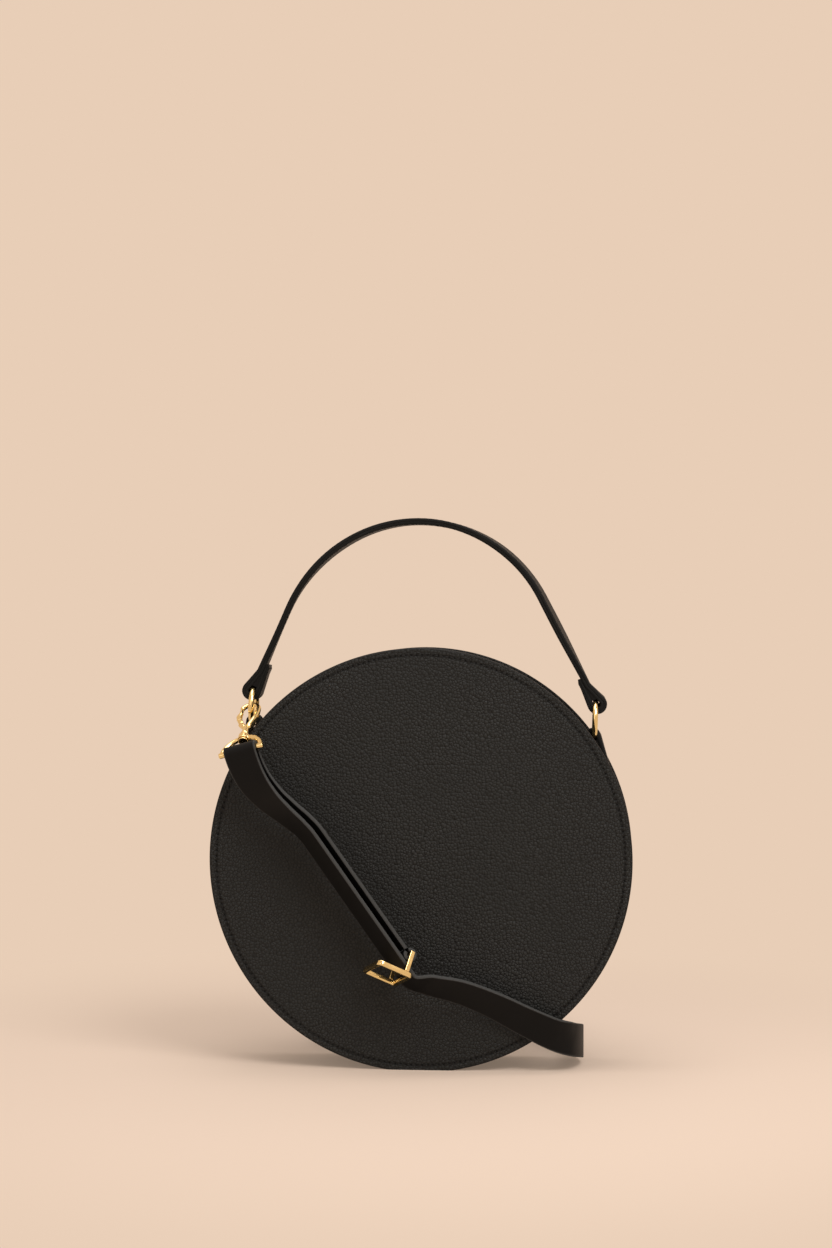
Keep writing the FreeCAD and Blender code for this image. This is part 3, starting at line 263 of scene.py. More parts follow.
def makeBoard():  # pressed fibre stiffener: dull and speckled
    look = {"speck": 1.2 * mm}
    material, tree, shader = newMaterial("fibreBoard", Metallic=0, IOR=1.5, Roughness=0.9)
    place = addNode(tree, "TexCoord").outputs["Object"]
    speck = addNode(tree, "TexNoise", {"Vector": place, "Scale": 1 / look["speck"], "Detail": 4})
    tone = addNode(tree, "MixRGB", {"Fac": speck.outputs["Fac"], "Color1": hexColour("8d8478"),
                                    "Color2": hexColour("b3a99a")})
    joinShader(tree, shader, {"Base Color": tone.outputs["Color"]})
    return material


pebbledLeather = makePebbledLeather()
# the shoulder strap's edges are a lighter grey than the handle's: grey edge paint together with a painted
# highlight for the lit edge line
strapLeather = makeStrapLeather("smoothCalfLeather", "3c3c3b")
handleLeather = makeStrapLeather("blackEdgedCalfLeather", "141413")
goldPlate = makeGold()
thread = makeThread()
liningCloth = makeCloth("plainWeaveLining", "3f3a36", "1d1a18", 0.5 * mm)
tapeCloth = makeCloth("wovenZipTape", "2a2927", "0f0f0e", 0.6 * mm)
fibreBoard = makeBoard()
print("materials made")


def makePiece(name, bm, material, body, replaced=(), sharp=45):
    mesh = bpy.data.meshes.new(name)
    bm.to_mesh(mesh)
    bm.free()
    mesh.materials.append(material)
    mesh.shade_smooth()
    mesh.set_sharp_from_angle(angle=math.radians(sharp))
    piece = bpy.data.objects.new(name, mesh)
    bpy.context.scene.collection.objects.link(piece)
    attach(piece, body)
    if replaced:
        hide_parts(*replaced)
    return piece


def spinProfile(profile, startAngle, sweepAngle, steps, closed):  # depth and radius, about the bag's axis
    bm = bmesh.new()
    verts = [bm.verts.new(bag["centre"] + Vector((0, depth, radius))) for depth, radius in profile]
    pairs = list(zip(verts, verts[1:])) + ([(verts[-1], verts[0])] if closed else [])
    edges = [bm.edges.new(pair) for pair in pairs]
    start = Matrix.Rotation(math.radians(startAngle), 3, "Y")
    bmesh.ops.rotate(bm, cent=bag["centre"], matrix=start, verts=verts)
    full = abs(sweepAngle) == 360
    bmesh.ops.spin(bm, geom=verts + edges, cent=bag["centre"], axis=back, angle=math.radians(sweepAngle),
                   steps=steps, use_merge=full)
    bmesh.ops.remove_doubles(bm, verts=bm.verts, dist=1e-6)
    if closed and not full:
        bmesh.ops.holes_fill(bm, edges=[edge for edge in bm.edges if edge.is_boundary], sides=0)
    bmesh.ops.recalc_face_normals(bm, faces=bm.faces)
    return bm


def mirrored(profile, sign):
    return [(sign * depth, radius) for depth, radius in profile]


def standOnFloor(bm):  # the foot is pressed flat where the bag stands
    for vert in bm.verts:
        vert.co.z = max(vert.co.z, 0)


# front and back panels
panel = {
    "stitchInset": 3.6 * mm,
    "stitchPitch": 2.7 * mm,
    "channelDepth": 0.22 * mm,
    "channelShade": 0.6,
    "channelHalf": 1.0 * mm,
    "holeDepth": 0.4 * mm,
    "holeReach": 1.0 * mm,
    "edgeRound": 0.55 * mm,
    "sag": 0.45 * mm,
    "sagSize": 55 * mm,
    "sagSeed": 3,
    "sagFade": 25 * mm,
    "stepsPerStitch": 4,
    "faceRings": (0, 8, 18, 28, 38, 48, 58, 68, 76, 83, 89, 94, 97, 99),  # millimetres
    "seamRings": (-1.2, -0.7, -0.35, 0, 0.35, 0.7, 1.2),  # in half widths of the channel
    "rimRing": 1.4 * mm,
    "innerRing": 90 * mm,
    "backRound": 0.22 * mm,
    "paintReach": 0.385 * mm,
    "backReach": 0.2 * mm,
}
panel["seam"] = bag["radius"] - panel["stitchInset"]
panel["stitches"] = round(math.tau * panel["seam"] / panel["stitchPitch"])


def spinPanel():  # plain disc with close rings where the seam runs
    face, inner = bag["halfDepth"], bag["gussetHalf"]
    rim, rounding, seam = bag["radius"], panel["edgeRound"], panel["seam"]
    radii = [stop * mm for stop in panel["faceRings"]]
    radii += [seam + panel["channelHalf"] * share for share in panel["seamRings"]] + [rim - panel["rimRing"]]
    profile = [(-face, radius) for radius in radii]
    for share in (0, 0.33, 0.67, 1):
        turn = math.radians(90 * share)
        profile.append((-face + rounding * (1 - math.cos(turn)), rim - rounding * (1 - math.sin(turn))))
    profile += [(-inner - panel["backRound"], rim), (-inner, rim - panel["backRound"]),
                (-inner, panel["innerRing"]), (-inner, 0)]
    return spinProfile(profile, 0, 360, panel["stitches"] * panel["stepsPerStitch"], False)


def buildPanel(side, name, bm):
    inner, rim, seam = bag["gussetHalf"], bag["radius"], panel["seam"]
    painted = bm.verts.layers.float.new("edgeShare")
    holeShade = bm.verts.layers.float.new("holeAndChannelShade")
    for vert in bm.verts:
        offset = vert.co - bag["centre"]
        radius = math.hypot(offset.x, offset.z)
        vert[painted] = 1 if radius > rim - panel["paintReach"] else 0
        if vert.co.y > -inner - panel["backReach"]:
            continue
        away = abs(radius - seam)
        between = max(0, -math.cos(math.atan2(offset.x, offset.z) * panel["stitches"]))
        hole = between * max(0, 1 - away / panel["holeReach"])
        channel = max(0, 1 - away / panel["channelHalf"])
        # marks the needle holes and the stitch channel for painted shade
        vert[holeShade] = max(hole, panel["channelShade"] * channel)
        sink = channel * panel["channelDepth"] + hole * panel["holeDepth"]
        spot = Vector((vert.co.x, panel["sagSeed"] * side, vert.co.z)) / panel["sagSize"]
        fade = min(1, max(0, (rim - radius) / panel["sagFade"]))
        vert.co.y += sink + noise.noise(spot) * panel["sag"] * fade
    standOnFloor(bm)
    if side > 0:
        bmesh.ops.rotate(bm, cent=bag["centre"], matrix=Matrix.Rotation(math.pi, 3, "Z"), verts=bm.verts)
    makePiece(name, bm, pebbledLeather, "bag", [name.replace("Panel", "_panel")])


disc = spinPanel()
buildPanel(1, "backPanel", disc.copy())
buildPanel(-1, "frontPanel", disc)
print("panels made")

# gusset channel and the two strips beside the zip
gusset = {
    "tipRound": 0.5 * mm,
    "cornerRound": 1.6 * mm,
    "chamfer": 0.6 * mm,
    "bulge": 0.5 * mm,
    "bulgeSize": 30 * mm,
    "bulgeReach": 0.1 * mm,
    "webInset": 0.2 * mm,
    "webStops": (1, 0.6, 0.2, -0.2, -0.6, -1),
    "steps": 220,
}
zipStrip = {
    "fold": 0.7 * mm,
    "seam": 14 * mm,
    "flatStart": 1.4 * mm,
    "grooveHalf": 0.6 * mm,
    "grooveDepth": 0.18 * mm,
    "edgeCut": 0.2 * mm,
    "steps": 110,
}


def roundCorner(depth, radius, fromTurn, toTurn, size, count=4):
    turns = [math.radians(fromTurn + (toTurn - fromTurn) * index / count) for index in range(count + 1)]
    return [(depth + size * math.cos(turn), radius + size * math.sin(turn)) for turn in turns]


def channelSide(sign):  # flange tip and root of one side of the channel, from the tip inwards
    half, inner = bag["gussetHalf"], bag["gussetHalf"] - bag["gussetSkin"]
    tip, root = gusset["tipRound"], gusset["cornerRound"]
    side = [(half, bag["webInner"] + gusset["chamfer"]), (half, bag["radius"] - tip)]
    side += roundCorner(half - tip, bag["radius"] - tip, 0, 90, tip)[1:]
    side += roundCorner(inner + tip, bag["radius"] - tip, 90, 180, tip)
    side += roundCorner(inner - root, bag["webRadius"] + root, 0, -90, root)
    return mirrored(side, sign)


def buildGusset():
    right, left = channelSide(1), channelSide(-1)
    flat = bag["gussetHalf"] - bag["gussetSkin"] - gusset["cornerRound"] - gusset["webInset"]
    web = [(share * flat, bag["webRadius"]) for share in gusset["webStops"]]
    under = bag["gussetHalf"] - gusset["chamfer"]
    profile = right + web + left[::-1] + [(-under, bag["webInner"]), (under, bag["webInner"])]
    bm = spinProfile(profile, bag["zipAngle"], 360 - 2 * bag["zipAngle"], gusset["steps"], True)
    for vert in bm.verts:
        radial = (vert.co - bag["centre"]) * Vector((1, 0, 1))
        if abs(radial.length - bag["webRadius"]) < gusset["bulgeReach"] and abs(vert.co.y) <= flat:
            vert.co += radial.normalized() * noise.noise(vert.co / gusset["bulgeSize"]) * gusset["bulge"]
    standOnFloor(bm)
    makePiece("gussetBand", bm, pebbledLeather, "bag", ["gusset"])


def buildZipStrip(sign, side):
    fold, seam, groove, cut = zipStrip["fold"], zipStrip["seam"], zipStrip["grooveHalf"], zipStrip["edgeCut"]
    edge, top, bottom = bag["mouthHalf"], bag["webRadius"], bag["webInner"]
    profile = channelSide(1) + [(seam + zipStrip["flatStart"], top), (seam + groove, top),
                                (seam, top - zipStrip["grooveDepth"]), (seam - groove, top)]
    profile += roundCorner(edge + fold, top - fold, 90, 180, fold)
    profile += [(edge, bottom + cut), (edge + cut, bottom), (bag["gussetHalf"] - gusset["chamfer"], bottom)]
    bm = spinProfile(mirrored(profile, sign), -bag["zipAngle"], 2 * bag["zipAngle"], zipStrip["steps"], True)
    makePiece(side + "ZipStrip", bm, pebbledLeather, "bag", ["zip_strip_" + side])


buildGusset()
for sign, side in ((-1, "front"), (1, "back")):
    buildZipStrip(sign, side)
print("gusset and zip strips made")

# zip: tapes and teeth
zipper = {
    "tapeSkin": 0.6 * mm,
    "tapeEdge": 16 * mm,
    "cordRise": 0.5 * mm,
    "cordWidth": 1.1 * mm,
    "cordFoot": 1.6 * mm,
    "toothRoot": 3.2 * mm,
    "toothNose": 0.9 * mm,
    "toothLength": 1.4 * mm,
    "toothHeight": 2.4 * mm,
    "toothRound": 0.3 * mm,
    "pitch": 3.2 * mm,
    "chainAngle": 43,
    "sliderAngle": 38.5,
    "steps": 120,
}
zipper["level"] = bag["webInner"] - zipper["tapeSkin"] / 2


def unrollUv(bm):  # lays a piece that follows the bag's round flat: along the arc and across it
    layer = bm.loops.layers.uv.new("UVMap")
    for face in bm.faces:
        for loop in face.loops:
            offset = loop.vert.co - bag["centre"]
            along = math.atan2(offset.x, offset.z) * bag["webRadius"]
            loop[layer].uv = (along, loop.vert.co.y + offset.length * 0.5)


def buildZipTape(sign, side):
    top, bottom, far = bag["webInner"], bag["webInner"] - zipper["tapeSkin"], zipper["tapeEdge"]
    cord = zipper["cordRise"]  # rolled edge that the teeth are clamped on
    root = zipper["toothRoot"]
    rolled, foot = root + zipper["cordWidth"], root + zipper["cordFoot"]
    profile = [(root, bottom - cord), (root, top + cord), (rolled, top + cord), (foot, top), (far, top),
               (far, bottom), (foot, bottom), (rolled, bottom - cord)]
    bm = spinProfile(mirrored(profile, sign), -bag["zipAngle"], 2 * bag["zipAngle"], zipper["steps"], True)
    unrollUv(bm)
    makePiece(side + "ZipTape", bm, tapeCloth, "bag", ["zip_tape_" + side])


def buildTeeth(sign, side, lag):
    step = math.degrees(zipper["pitch"] / zipper["level"])
    reach = int(zipper["chainAngle"] / step)
    bm = bmesh.new()
    depth = zipper["toothRoot"] + zipper["toothNose"]
    middle = Vector((0, sign * (depth / 2 - zipper["toothNose"]), zipper["level"]))
    scale = Matrix.Diagonal((zipper["toothLength"], depth, zipper["toothHeight"], 1))
    bmesh.ops.create_cube(bm, size=1, matrix=Matrix.Translation(bag["centre"] + middle) @ scale)
    bmesh.ops.bevel(bm, geom=bm.edges[:], offset=zipper["toothRound"], affect="EDGES", segments=2,
                    profile=0.5, material=-1)
    tooth = bm.verts[:] + bm.edges[:] + bm.faces[:]
    angles = [(index + lag) * step for index in range(-reach, reach)]
    for angle in [angle for angle in angles if angle < zipper["sliderAngle"]]:
        copy = bmesh.ops.duplicate(bm, geom=tooth)["geom"]
        turn = Matrix.Rotation(math.radians(angle), 3, "Y")
        bmesh.ops.rotate(bm, cent=bag["centre"], matrix=turn, verts=onlyVerts(copy))
    bmesh.ops.delete(bm, geom=onlyVerts(tooth), context="VERTS")
    makePiece(side + "Teeth", bm, goldPlate, "bag", ["zip_teeth_" + side], 30)


for sign, side, lag in ((-1, "front", 0), (1, "back", 0.5)):  # half a pitch apart, so that they mesh
    buildZipTape(sign, side)
    buildTeeth(sign, side, lag)
print("zip made")


def bandPoses(stations):  # X across the strip, Y out of its face, Z along it
    poses = []
    for index, station in enumerate(stations):
        before = stations[max(index - 1, 0)][0]
        after = stations[min(index + 1, len(stations) - 1)][0]
        heading = (after - before).normalized()
        side = (station[1] - heading * station[1].dot(heading)).normalized()
        turn = Matrix((side, side.cross(heading), heading)).transposed().to_4x4()
        poses.append(Matrix.Translation(station[0]) @ turn)
    return poses


def extrudeAlong(bm, tip, poses):
    for last, here in zip(poses, poses[1:]):
        grown = bmesh.ops.extrude_face_region(bm, geom=[tip])["geom"]
        tip = next(item for item in grown if isinstance(item, bmesh.types.BMFace))
        bmesh.ops.transform(bm, matrix=here @ last.inverted(), verts=tip.verts)
    inner = [face for face in bm.faces if all(len(edge.link_faces) > 2 for edge in face.edges)]
    bmesh.ops.delete(bm, geom=inner, context="FACES_ONLY")  # extruding leaves each earlier end face inside


band = {"edgeRound": 0.45 * mm, "edgeLimit": 0.6, "edgeSlope": 0.7}


def sweepBand(stations, width, skin, groove=0):  # leather strip, extruded from station to station
    half, thick = width / 2, skin / 2
    nip = min(band["edgeRound"], thick * band["edgeLimit"])
    flat = half - nip * band["edgeSlope"]
    edge = [(half, nip - thick), (half, thick - nip)]
    if groove:  # fine line between the two glued layers
        edge[1:1] = [(half, -groove), (half - groove, 0), (half, groove)]
    face = [(across, thick) for across in (flat, half / 2, 0, -half / 2, -flat)]
    section = edge + face + [(-x, -y) for x, y in edge + face]
    poses = bandPoses(stations)
    for index, station in enumerate(stations):
        if len(station) > 2:  # a station may give its own thickness
            poses[index] = poses[index] @ Matrix.Diagonal((1, station[2] / skin, 1, 1))
    bm = bmesh.new()
    share = bm.verts.layers.float.new("edgeShare")
    loop = [bm.verts.new(poses[0] @ Vector((x, y, 0))) for x, y in section]
    for vert, (x, y) in zip(loop, section):
        vert[share] = abs(x) / half
    extrudeAlong(bm, bm.faces.new(loop), poses)
    bmesh.ops.recalc_face_normals(bm, faces=bm.faces)
    return bm


def smoothCurve(stations, first, last, steps=6):  # more stations on a curve with these end directions
    middles = [station[0] for station in stations]
    spans = [(end - start).length for start, end in zip(middles, middles[1:])]
    slopes = [(end - start) / span for start, end, span in zip(middles, middles[1:], spans)]
    tangents = [first]
    for index in range(1, len(spans)):
        before, after = spans[index - 1], spans[index]
        tangents.append((slopes[index - 1] * after + slopes[index] * before) / (before + after))
    tangents.append(last)
    dense = [stations[0]]
    for index, span in enumerate(spans):
        for step in range(1, steps + 1):
            share = step / steps
            middle = middles[index].lerp(middles[index + 1], eased(share))
            middle = middle + tangents[index] * span * share * (1 - share) ** 2
            middle = middle - tangents[index + 1] * span * share ** 2 * (1 - share)
            dense.append((middle, stations[index][1].lerp(stations[index + 1][1], share)))
    return dense


def halfTurn(centre, across, start, turn, radius, lead=0, steps=12):  # stations round a bar
    angles = [(math.pi + lead) * step / steps - lead for step in range(steps + 1)]
    return [(centre + (start * math.cos(angle) + turn * math.sin(angle)) * radius, across)
            for angle in angles]


# shoulder strap, with the numbers of its solid
strap = {
    "width": 16.5 * mm,
    "skin": 1.8 * mm,
    "barPlay": 0.25 * mm,
    "eyeBar": 1.4 * mm,
    "clearance": 1.0 * mm,
    "floorPlay": 0.1 * mm,
    "run": 74 * mm,
    "lean": 56,
    "adjuster": Vector((-9.765, 0, 54.915)) * mm,
    "heading": Vector((0.580, 0, -0.815)).normalized(),
    "adjusterGap": 1.2 * mm,
    "slideSide": 2.3 * mm,
    "slideLength": 19 * mm,
    "slideBar": 2.2 * mm,
    "slidePlay": 0.35 * mm,
    "tail": 15 * mm,
    "travel": 50 * mm,
    "runStops": (0.12, 0.3, 0.5, 0.7, 0.88, 1),
    "turnSteps": 14,
    "landing": 1.5,
    "endLoop": {"start": 20, "step": 14, "count": 24},
    "face": ((0.060, 0.420, 46), (0.190, 0.388, 38), (0.350, 0.324, 31), (0.510, 0.242, 21),
             (0.628, 0.186, 11)),  # across and up as shares of the bag's radius, lean in degrees
    "side": ((0.712, -0.84, 0.072), (0.755, -0.24, 0.045), (0.755, 0.40, 0.022), (0.712, 1.04, 0.006)),
    "loop": ((0.640, 0.16), (0.560, 0.35), (0.470, 0.56), (0.345, 0.77), (0.160, 0.92), (-0.080, 0.96),
             (-0.315, 0.87), (-0.480, 0.69), (-0.560, 0.47), (-0.560, 0.28), (-0.490, 0.17)),
    "freeHook": (0.02, 0.15),
}
freeAcross, freeDeep = strap["freeHook"]
strap["freeBar"] = Vector((freeAcross * bag["radius"], bag["halfDepth"] + freeDeep * bag["radius"],
                           strap["skin"] + strap["barPlay"] + strap["eyeBar"] + strap["floorPlay"]))
strap["slideHalf"] = strap["width"] / 2 + strap["slideSide"] / 3
strap["wrapRadius"] = strap["eyeBar"] + strap["barPlay"] + strap["skin"] / 2
strap["loopOuter"] = strap["slideBar"] / 2 + strap["barPlay"] * 2 + strap["skin"]
strap["barLevel"] = strap["skin"] / 2 + strap["slidePlay"] + strap["loopOuter"]

hook = {
    "pitch": 33,
    "ringAngle": 16,
    "shift": 0.6 * mm,
    "roll": 190,
    "eyeRoll": 18,
    "eyeCentre": (21.3 + 0.3 + 1.75 + 10.3) * mm,  # stem, play, half the collar and the eye's radius
    "freeDip": 2,
}


def hookFrame(roll):  # clipped hook: origin on the ring's bar, Y along the hook, Z out of its face
    turn, pitch = math.radians(hook["ringAngle"]), math.radians(hook["pitch"])
    origin = rings["left"] - Vector((0, math.cos(turn), math.sin(turn))) * rings["radius"]
    origin.x -= hook["shift"]
    columns = Matrix((Vector((1, 0, 0)), Vector((0, math.cos(pitch), math.sin(pitch))),
                      Vector((0, -math.sin(pitch), math.cos(pitch))))).transposed()
    return Matrix.Translation(origin) @ (columns @ Matrix.Rotation(math.radians(-roll), 3, "Y")).to_4x4()


def leaning(heading, lean):  # width direction of a strap along the front, upper edge out from the bag
    turn = math.radians(lean)
    return Vector((-heading.z, 0, heading.x)) * math.cos(turn) - back * math.sin(turn)


def adjusterFrame():  # X across the strap, Y up it, Z out of its face
    lean = math.radians(strap["lean"])
    across = leaning(strap["heading"], strap["lean"])
    reach = (strap["slideHalf"] + strap["slideSide"]) * math.sin(lean)
    reach += (strap["barLevel"] + strap["slideBar"]) * math.cos(lean)
    place = strap["adjuster"] - back * (bag["halfDepth"] + strap["adjusterGap"] + reach)
    upward = -strap["heading"]
    return Matrix.Translation(place) @ Matrix((across, upward, across.cross(upward))).transposed().to_4x4()


adjuster = adjusterFrame()
adjusterAcross = adjuster.to_3x3() @ Vector((1, 0, 0))
eyeBar = hookFrame(hook["eyeRoll"]) @ Vector((0, -hook["eyeCentre"], 0))
eyeAcross = hookFrame(hook["eyeRoll"]).to_3x3() @ Vector((1, 0, 0))
hang = adjuster @ Vector((0, strap["run"], 0)) - eyeBar
hang = (hang - eyeAcross * hang.dot(eyeAcross)).normalized()


def doubledRun(level):  # from the clipped hook down to the straight run at the adjuster
    out = hang.cross(eyeAcross)
    start = eyeBar + out * strap["wrapRadius"]
    if level < 0:
        start = eyeBar - out * strap["wrapRadius"] + hang * strap["skin"] / 3
    top = adjuster @ Vector((0, strap["run"], level))
    span = (top - start).length
    stations = [(start, eyeAcross)]
    for share in strap["runStops"]:
        ease = eased(share)
        leave, arrive = start + hang * span * share, top - strap["heading"] * span * (1 - share)
        stations.append((leave.lerp(arrive, ease), eyeAcross.lerp(adjusterAcross, ease)))
    return smoothCurve(stations, hang, strap["heading"])


def buildStrap():
    radius, depth, half = bag["radius"], bag["halfDepth"], strap["width"] / 2
    stations = halfTurn(eyeBar, eyeAcross, eyeAcross.cross(hang), -hang, strap["wrapRadius"])
    stations += doubledRun(0)[1:]
    flow = [(adjuster @ Vector((0, -strap["slideLength"] / 2, 0)), adjusterAcross)]
    points = [Vector((across, 0, rise)) * radius for across, rise, lean in strap["face"]]
    for index, (across, rise, lean) in enumerate(strap["face"]):
        before, after = points[max(index - 1, 0)], points[min(index + 1, len(points) - 1)]
        width = leaning((after - before).normalized(), lean)
        fade = index / (len(points) - 1)
        stand = strap["clearance"] + strap["barLevel"] * (1 - fade) ** 2
        flow.append((points[index] - back * (depth + stand + abs(width.y) * half + strap["skin"] / 2), width))
    for across, deep, rise in strap["side"]:
        flow.append((Vector((across * radius, deep * depth, half + rise * radius)), up))
    for across, deep in strap["loop"]:
        flow.append((Vector((across * radius, depth + deep * radius, half + strap["floorPlay"])), up))
    freeBar = strap["freeBar"]
    along, side = Vector((1, 0, 0)), -back
    last = flow[-1][0]
    stations += smoothCurve(flow, strap["heading"], along)
    landing = freeBar - along * strap["tail"] * strap["landing"]
    for step in range(1, strap["turnSteps"] + 1):
        share = step / strap["turnSteps"]
        turn = math.pi / 2 * eased(share)
        middle = last.lerp(landing, share)
        middle.z = strap["floorPlay"] + half * math.cos(turn) + strap["skin"] / 2 * math.sin(turn)
        stations.append((middle, up * math.cos(turn) + side * math.sin(turn)))
    overTail = freeBar - along * (strap["tail"] + strap["skin"] / 2)
    overTail.z = strap["floorPlay"] + strap["skin"] * 1.5 + strap["barPlay"] / 2
    stations.append((overTail, side))
    lead = math.atan2(freeBar.z + strap["wrapRadius"] - overTail.z, freeBar.x - overTail.x)
    stations += halfTurn(freeBar, side, up, along, strap["wrapRadius"], lead)
    stations.append((freeBar - up * strap["wrapRadius"] - along * strap["tail"], side))
    bm = sweepBand(stations, strap["width"], strap["skin"])
    makePiece("shoulderStrap", bm, strapLeather, "bag", ["shoulder_strap"])
    sewn = [station[0] for station in stations].index(overTail)
    return bandPoses(stations[sewn:sewn + 2])


def buildBackRun():
    stations = doubledRun(-strap["barLevel"])
    end = Vector((0, strap["loopOuter"] + strap["slidePlay"], -strap["barLevel"]))
    stations.append((adjuster @ end, adjusterAcross))
    bm = sweepBand(stations, strap["width"], strap["skin"])
    piece = makePiece("strapBackRun", bm, strapLeather, "bag", ["strap_back_run"])
    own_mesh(piece)


def buildEndLoop():  # end of the strap, sewn round the adjuster's bar
    bar = adjuster @ Vector((0, 0, -strap["barLevel"]))
    turn = adjuster.to_3x3()
    radius, loop = strap["loopOuter"] - strap["skin"] / 2, strap["endLoop"]
    angles = [math.radians(loop["start"] + loop["step"] * step) for step in range(loop["count"])]
    stations = [(bar + turn @ Vector((0, math.cos(angle), math.sin(angle))) * radius, adjusterAcross)
                for angle in angles]
    bm = sweepBand(stations, strap["width"], strap["skin"])
    makePiece("strapEndLoop", bm, strapLeather, "adjuster", ["strap_end_loop"])


strapEnd = buildStrap()
buildBackRun()
buildEndLoop()
print("strap made")

# handle and ring tabs: strips folded round the rings
handle = {
    "width": 11 * mm,
    "thickness": 3.2 * mm,
    "tailSkin": 2.2 * mm,
    "tipSkin": 1.4 * mm,
    "tail": 13.5 * mm,
    "tipStart": 0.85,
    "flare": 9 * mm,
    "flareClear": 1.05,
    "legSteps": 8,
    "cornerShare": 0.5,
    "cornerSteps": 14,
    "height": 97 * mm,
    "groove": 0.16 * mm,
    "corners": ((-0.5435, 0.7977), (-0.0581, 1.0467), (0.4488, 0.8548)),
    "twist": ((0, 0), (0.12, 6), (0.32, -2), (0.5, 0), (0.7, 7), (0.86, 9), (1, 0)),  # share along, degrees
}
tab = {"width": 10 * mm, "skin": 2.2 * mm, "flareAngle": 9, "midAngle": 11, "endAngle": 15, "saddle": 9 * mm}
foldRoom = {"inset": 0.3 * mm, "lip": 0.6 * mm, "saddleHalf": 7 * mm, "saddleNear": 3}


def archLine(points, share, steps):  # the handle's line with its corners rounded off
    line = [points[0]]
    for index in range(1, len(points) - 1):
        before, after = points[index] - points[index - 1], points[index + 1] - points[index]
        reach = min(before.length, after.length) * share
        half = before.angle(after) / 2
        entry = points[index] - before.normalized() * reach
        normal = before.cross(back).normalized()
        radius = reach / math.tan(half)
        centre = entry - normal * radius
        for step in range(steps + 1):
            turn = Matrix.Rotation(2 * half * step / steps, 3, "Y")
            line.append(centre + turn @ (entry - centre))
    return line + [points[-1]]


def saddle(bm, foot, along, reach):  # the fold dips with the curve of the ring's bar under it
    for vert in bm.verts:
        offset = vert.co - foot
        climb = offset.dot(along)
        if offset.length > foldRoom["saddleNear"] * reach:
            continue
        aside = min(abs(vert.co.y), foldRoom["saddleHalf"])
        drop = rings["radius"] - math.sqrt(rings["radius"] ** 2 - aside ** 2)
        vert.co -= along * drop * eased(min(1, max(0, 1 - climb / reach)))


def fillFold(bm, corners, width):  # leather wedge glued between the layers above a ring
    half = width / 2 - foldRoom["inset"]
    wedge = bm.faces.new([bm.verts.new(corner - back * half) for corner in corners])
    grown = bmesh.ops.extrude_face_region(bm, geom=[wedge])["geom"]
    bmesh.ops.translate(bm, vec=back * half * 2, verts=onlyVerts(grown))
    bmesh.ops.recalc_face_normals(bm, faces=bm.faces)


def twistAt(share):
    for (start, first), (end, second) in zip(handle["twist"], handle["twist"][1:]):
        if share <= end:
            return math.radians(first + (second - first) * eased((share - start) / (end - start)))
    return 0


def handleRun(line):  # stations of the single run between the two flares, a little twisted as leather hangs
    shares = [step / handle["legSteps"] for step in range(1, handle["legSteps"])]
    dense = [line[0].lerp(line[1], share) for share in shares] + line[1:-1]
    dense += [line[-2].lerp(line[-1], share) for share in shares]
    spans = [(end - start).length for start, end in zip(dense, dense[1:])]
    stations, travelled = [], 0
    for index, point in enumerate(dense):
        heading = dense[min(index + 1, len(dense) - 1)] - dense[max(index - 1, 0)]
        normal = heading.cross(back).normalized()
        turn = twistAt(travelled / sum(spans))
        stations.append((point, back * math.cos(turn) + normal * math.sin(turn), handle["thickness"]))
        travelled += spans[index] if index < len(spans) else 0
    clear = handle["flare"] * handle["flareClear"]
    return [station for station in stations
            if min((station[0] - foot).length for foot in (line[0], line[-1])) > clear]


def buildHandle():
    base = (rings["left"].z + rings["right"].z) / 2
    feet = [rings[side] + rings["up"] * rings["radius"] for side in ("left", "right")]
    corners = [Vector((across * bag["radius"], 0, base + rise * handle["height"]))
               for across, rise in handle["corners"]]
    run = handleRun(archLine([feet[0], *corners, feet[1]], handle["cornerShare"], handle["cornerSteps"]))
    half, skin, flare = handle["thickness"] / 2, handle["tailSkin"], handle["flare"]
    bar = rings["barRadius"] + rings["loopPlay"]
    ends, wedges, tails = [], [], []
    for foot, corner, sign in ((feet[0], corners[0], 1), (feet[1], corners[-1], -1)):
        along = (corner - foot).normalized()
        out = along.cross(back).normalized() * sign
        under = out * -(half + skin / 2)
        tip = (foot + along * handle["tail"] - out * (half + handle["tipSkin"] / 2), back, handle["tipSkin"])
        tail = [tip] + [(foot + along * reach + under, back, skin)
                        for reach in (handle["tail"] * handle["tipStart"], flare)]
        fold = [(*station, handle["thickness"]) for station in halfTurn(foot, back, -out, -along, bar + half)]
        ends.append(tail + fold + [(foot + along * flare, back, handle["thickness"])])
        tails.append(tail)
        lip = foot + along * (bar + foldRoom["lip"])
        wedges.append((lip + out * bar, lip - out * bar, foot + along * flare - out * half))
    bm = sweepBand(ends[0] + run + ends[1][::-1], handle["width"], handle["thickness"], handle["groove"])
    for wedge in wedges:
        fillFold(bm, wedge, handle["width"])
    for foot, corner in ((feet[0], corners[0]), (feet[1], corners[-1])):
        saddle(bm, foot, (corner - foot).normalized(), flare)
    makePiece("handleStrip", bm, handleLeather, "handle", ["handle"])
    return run, tails


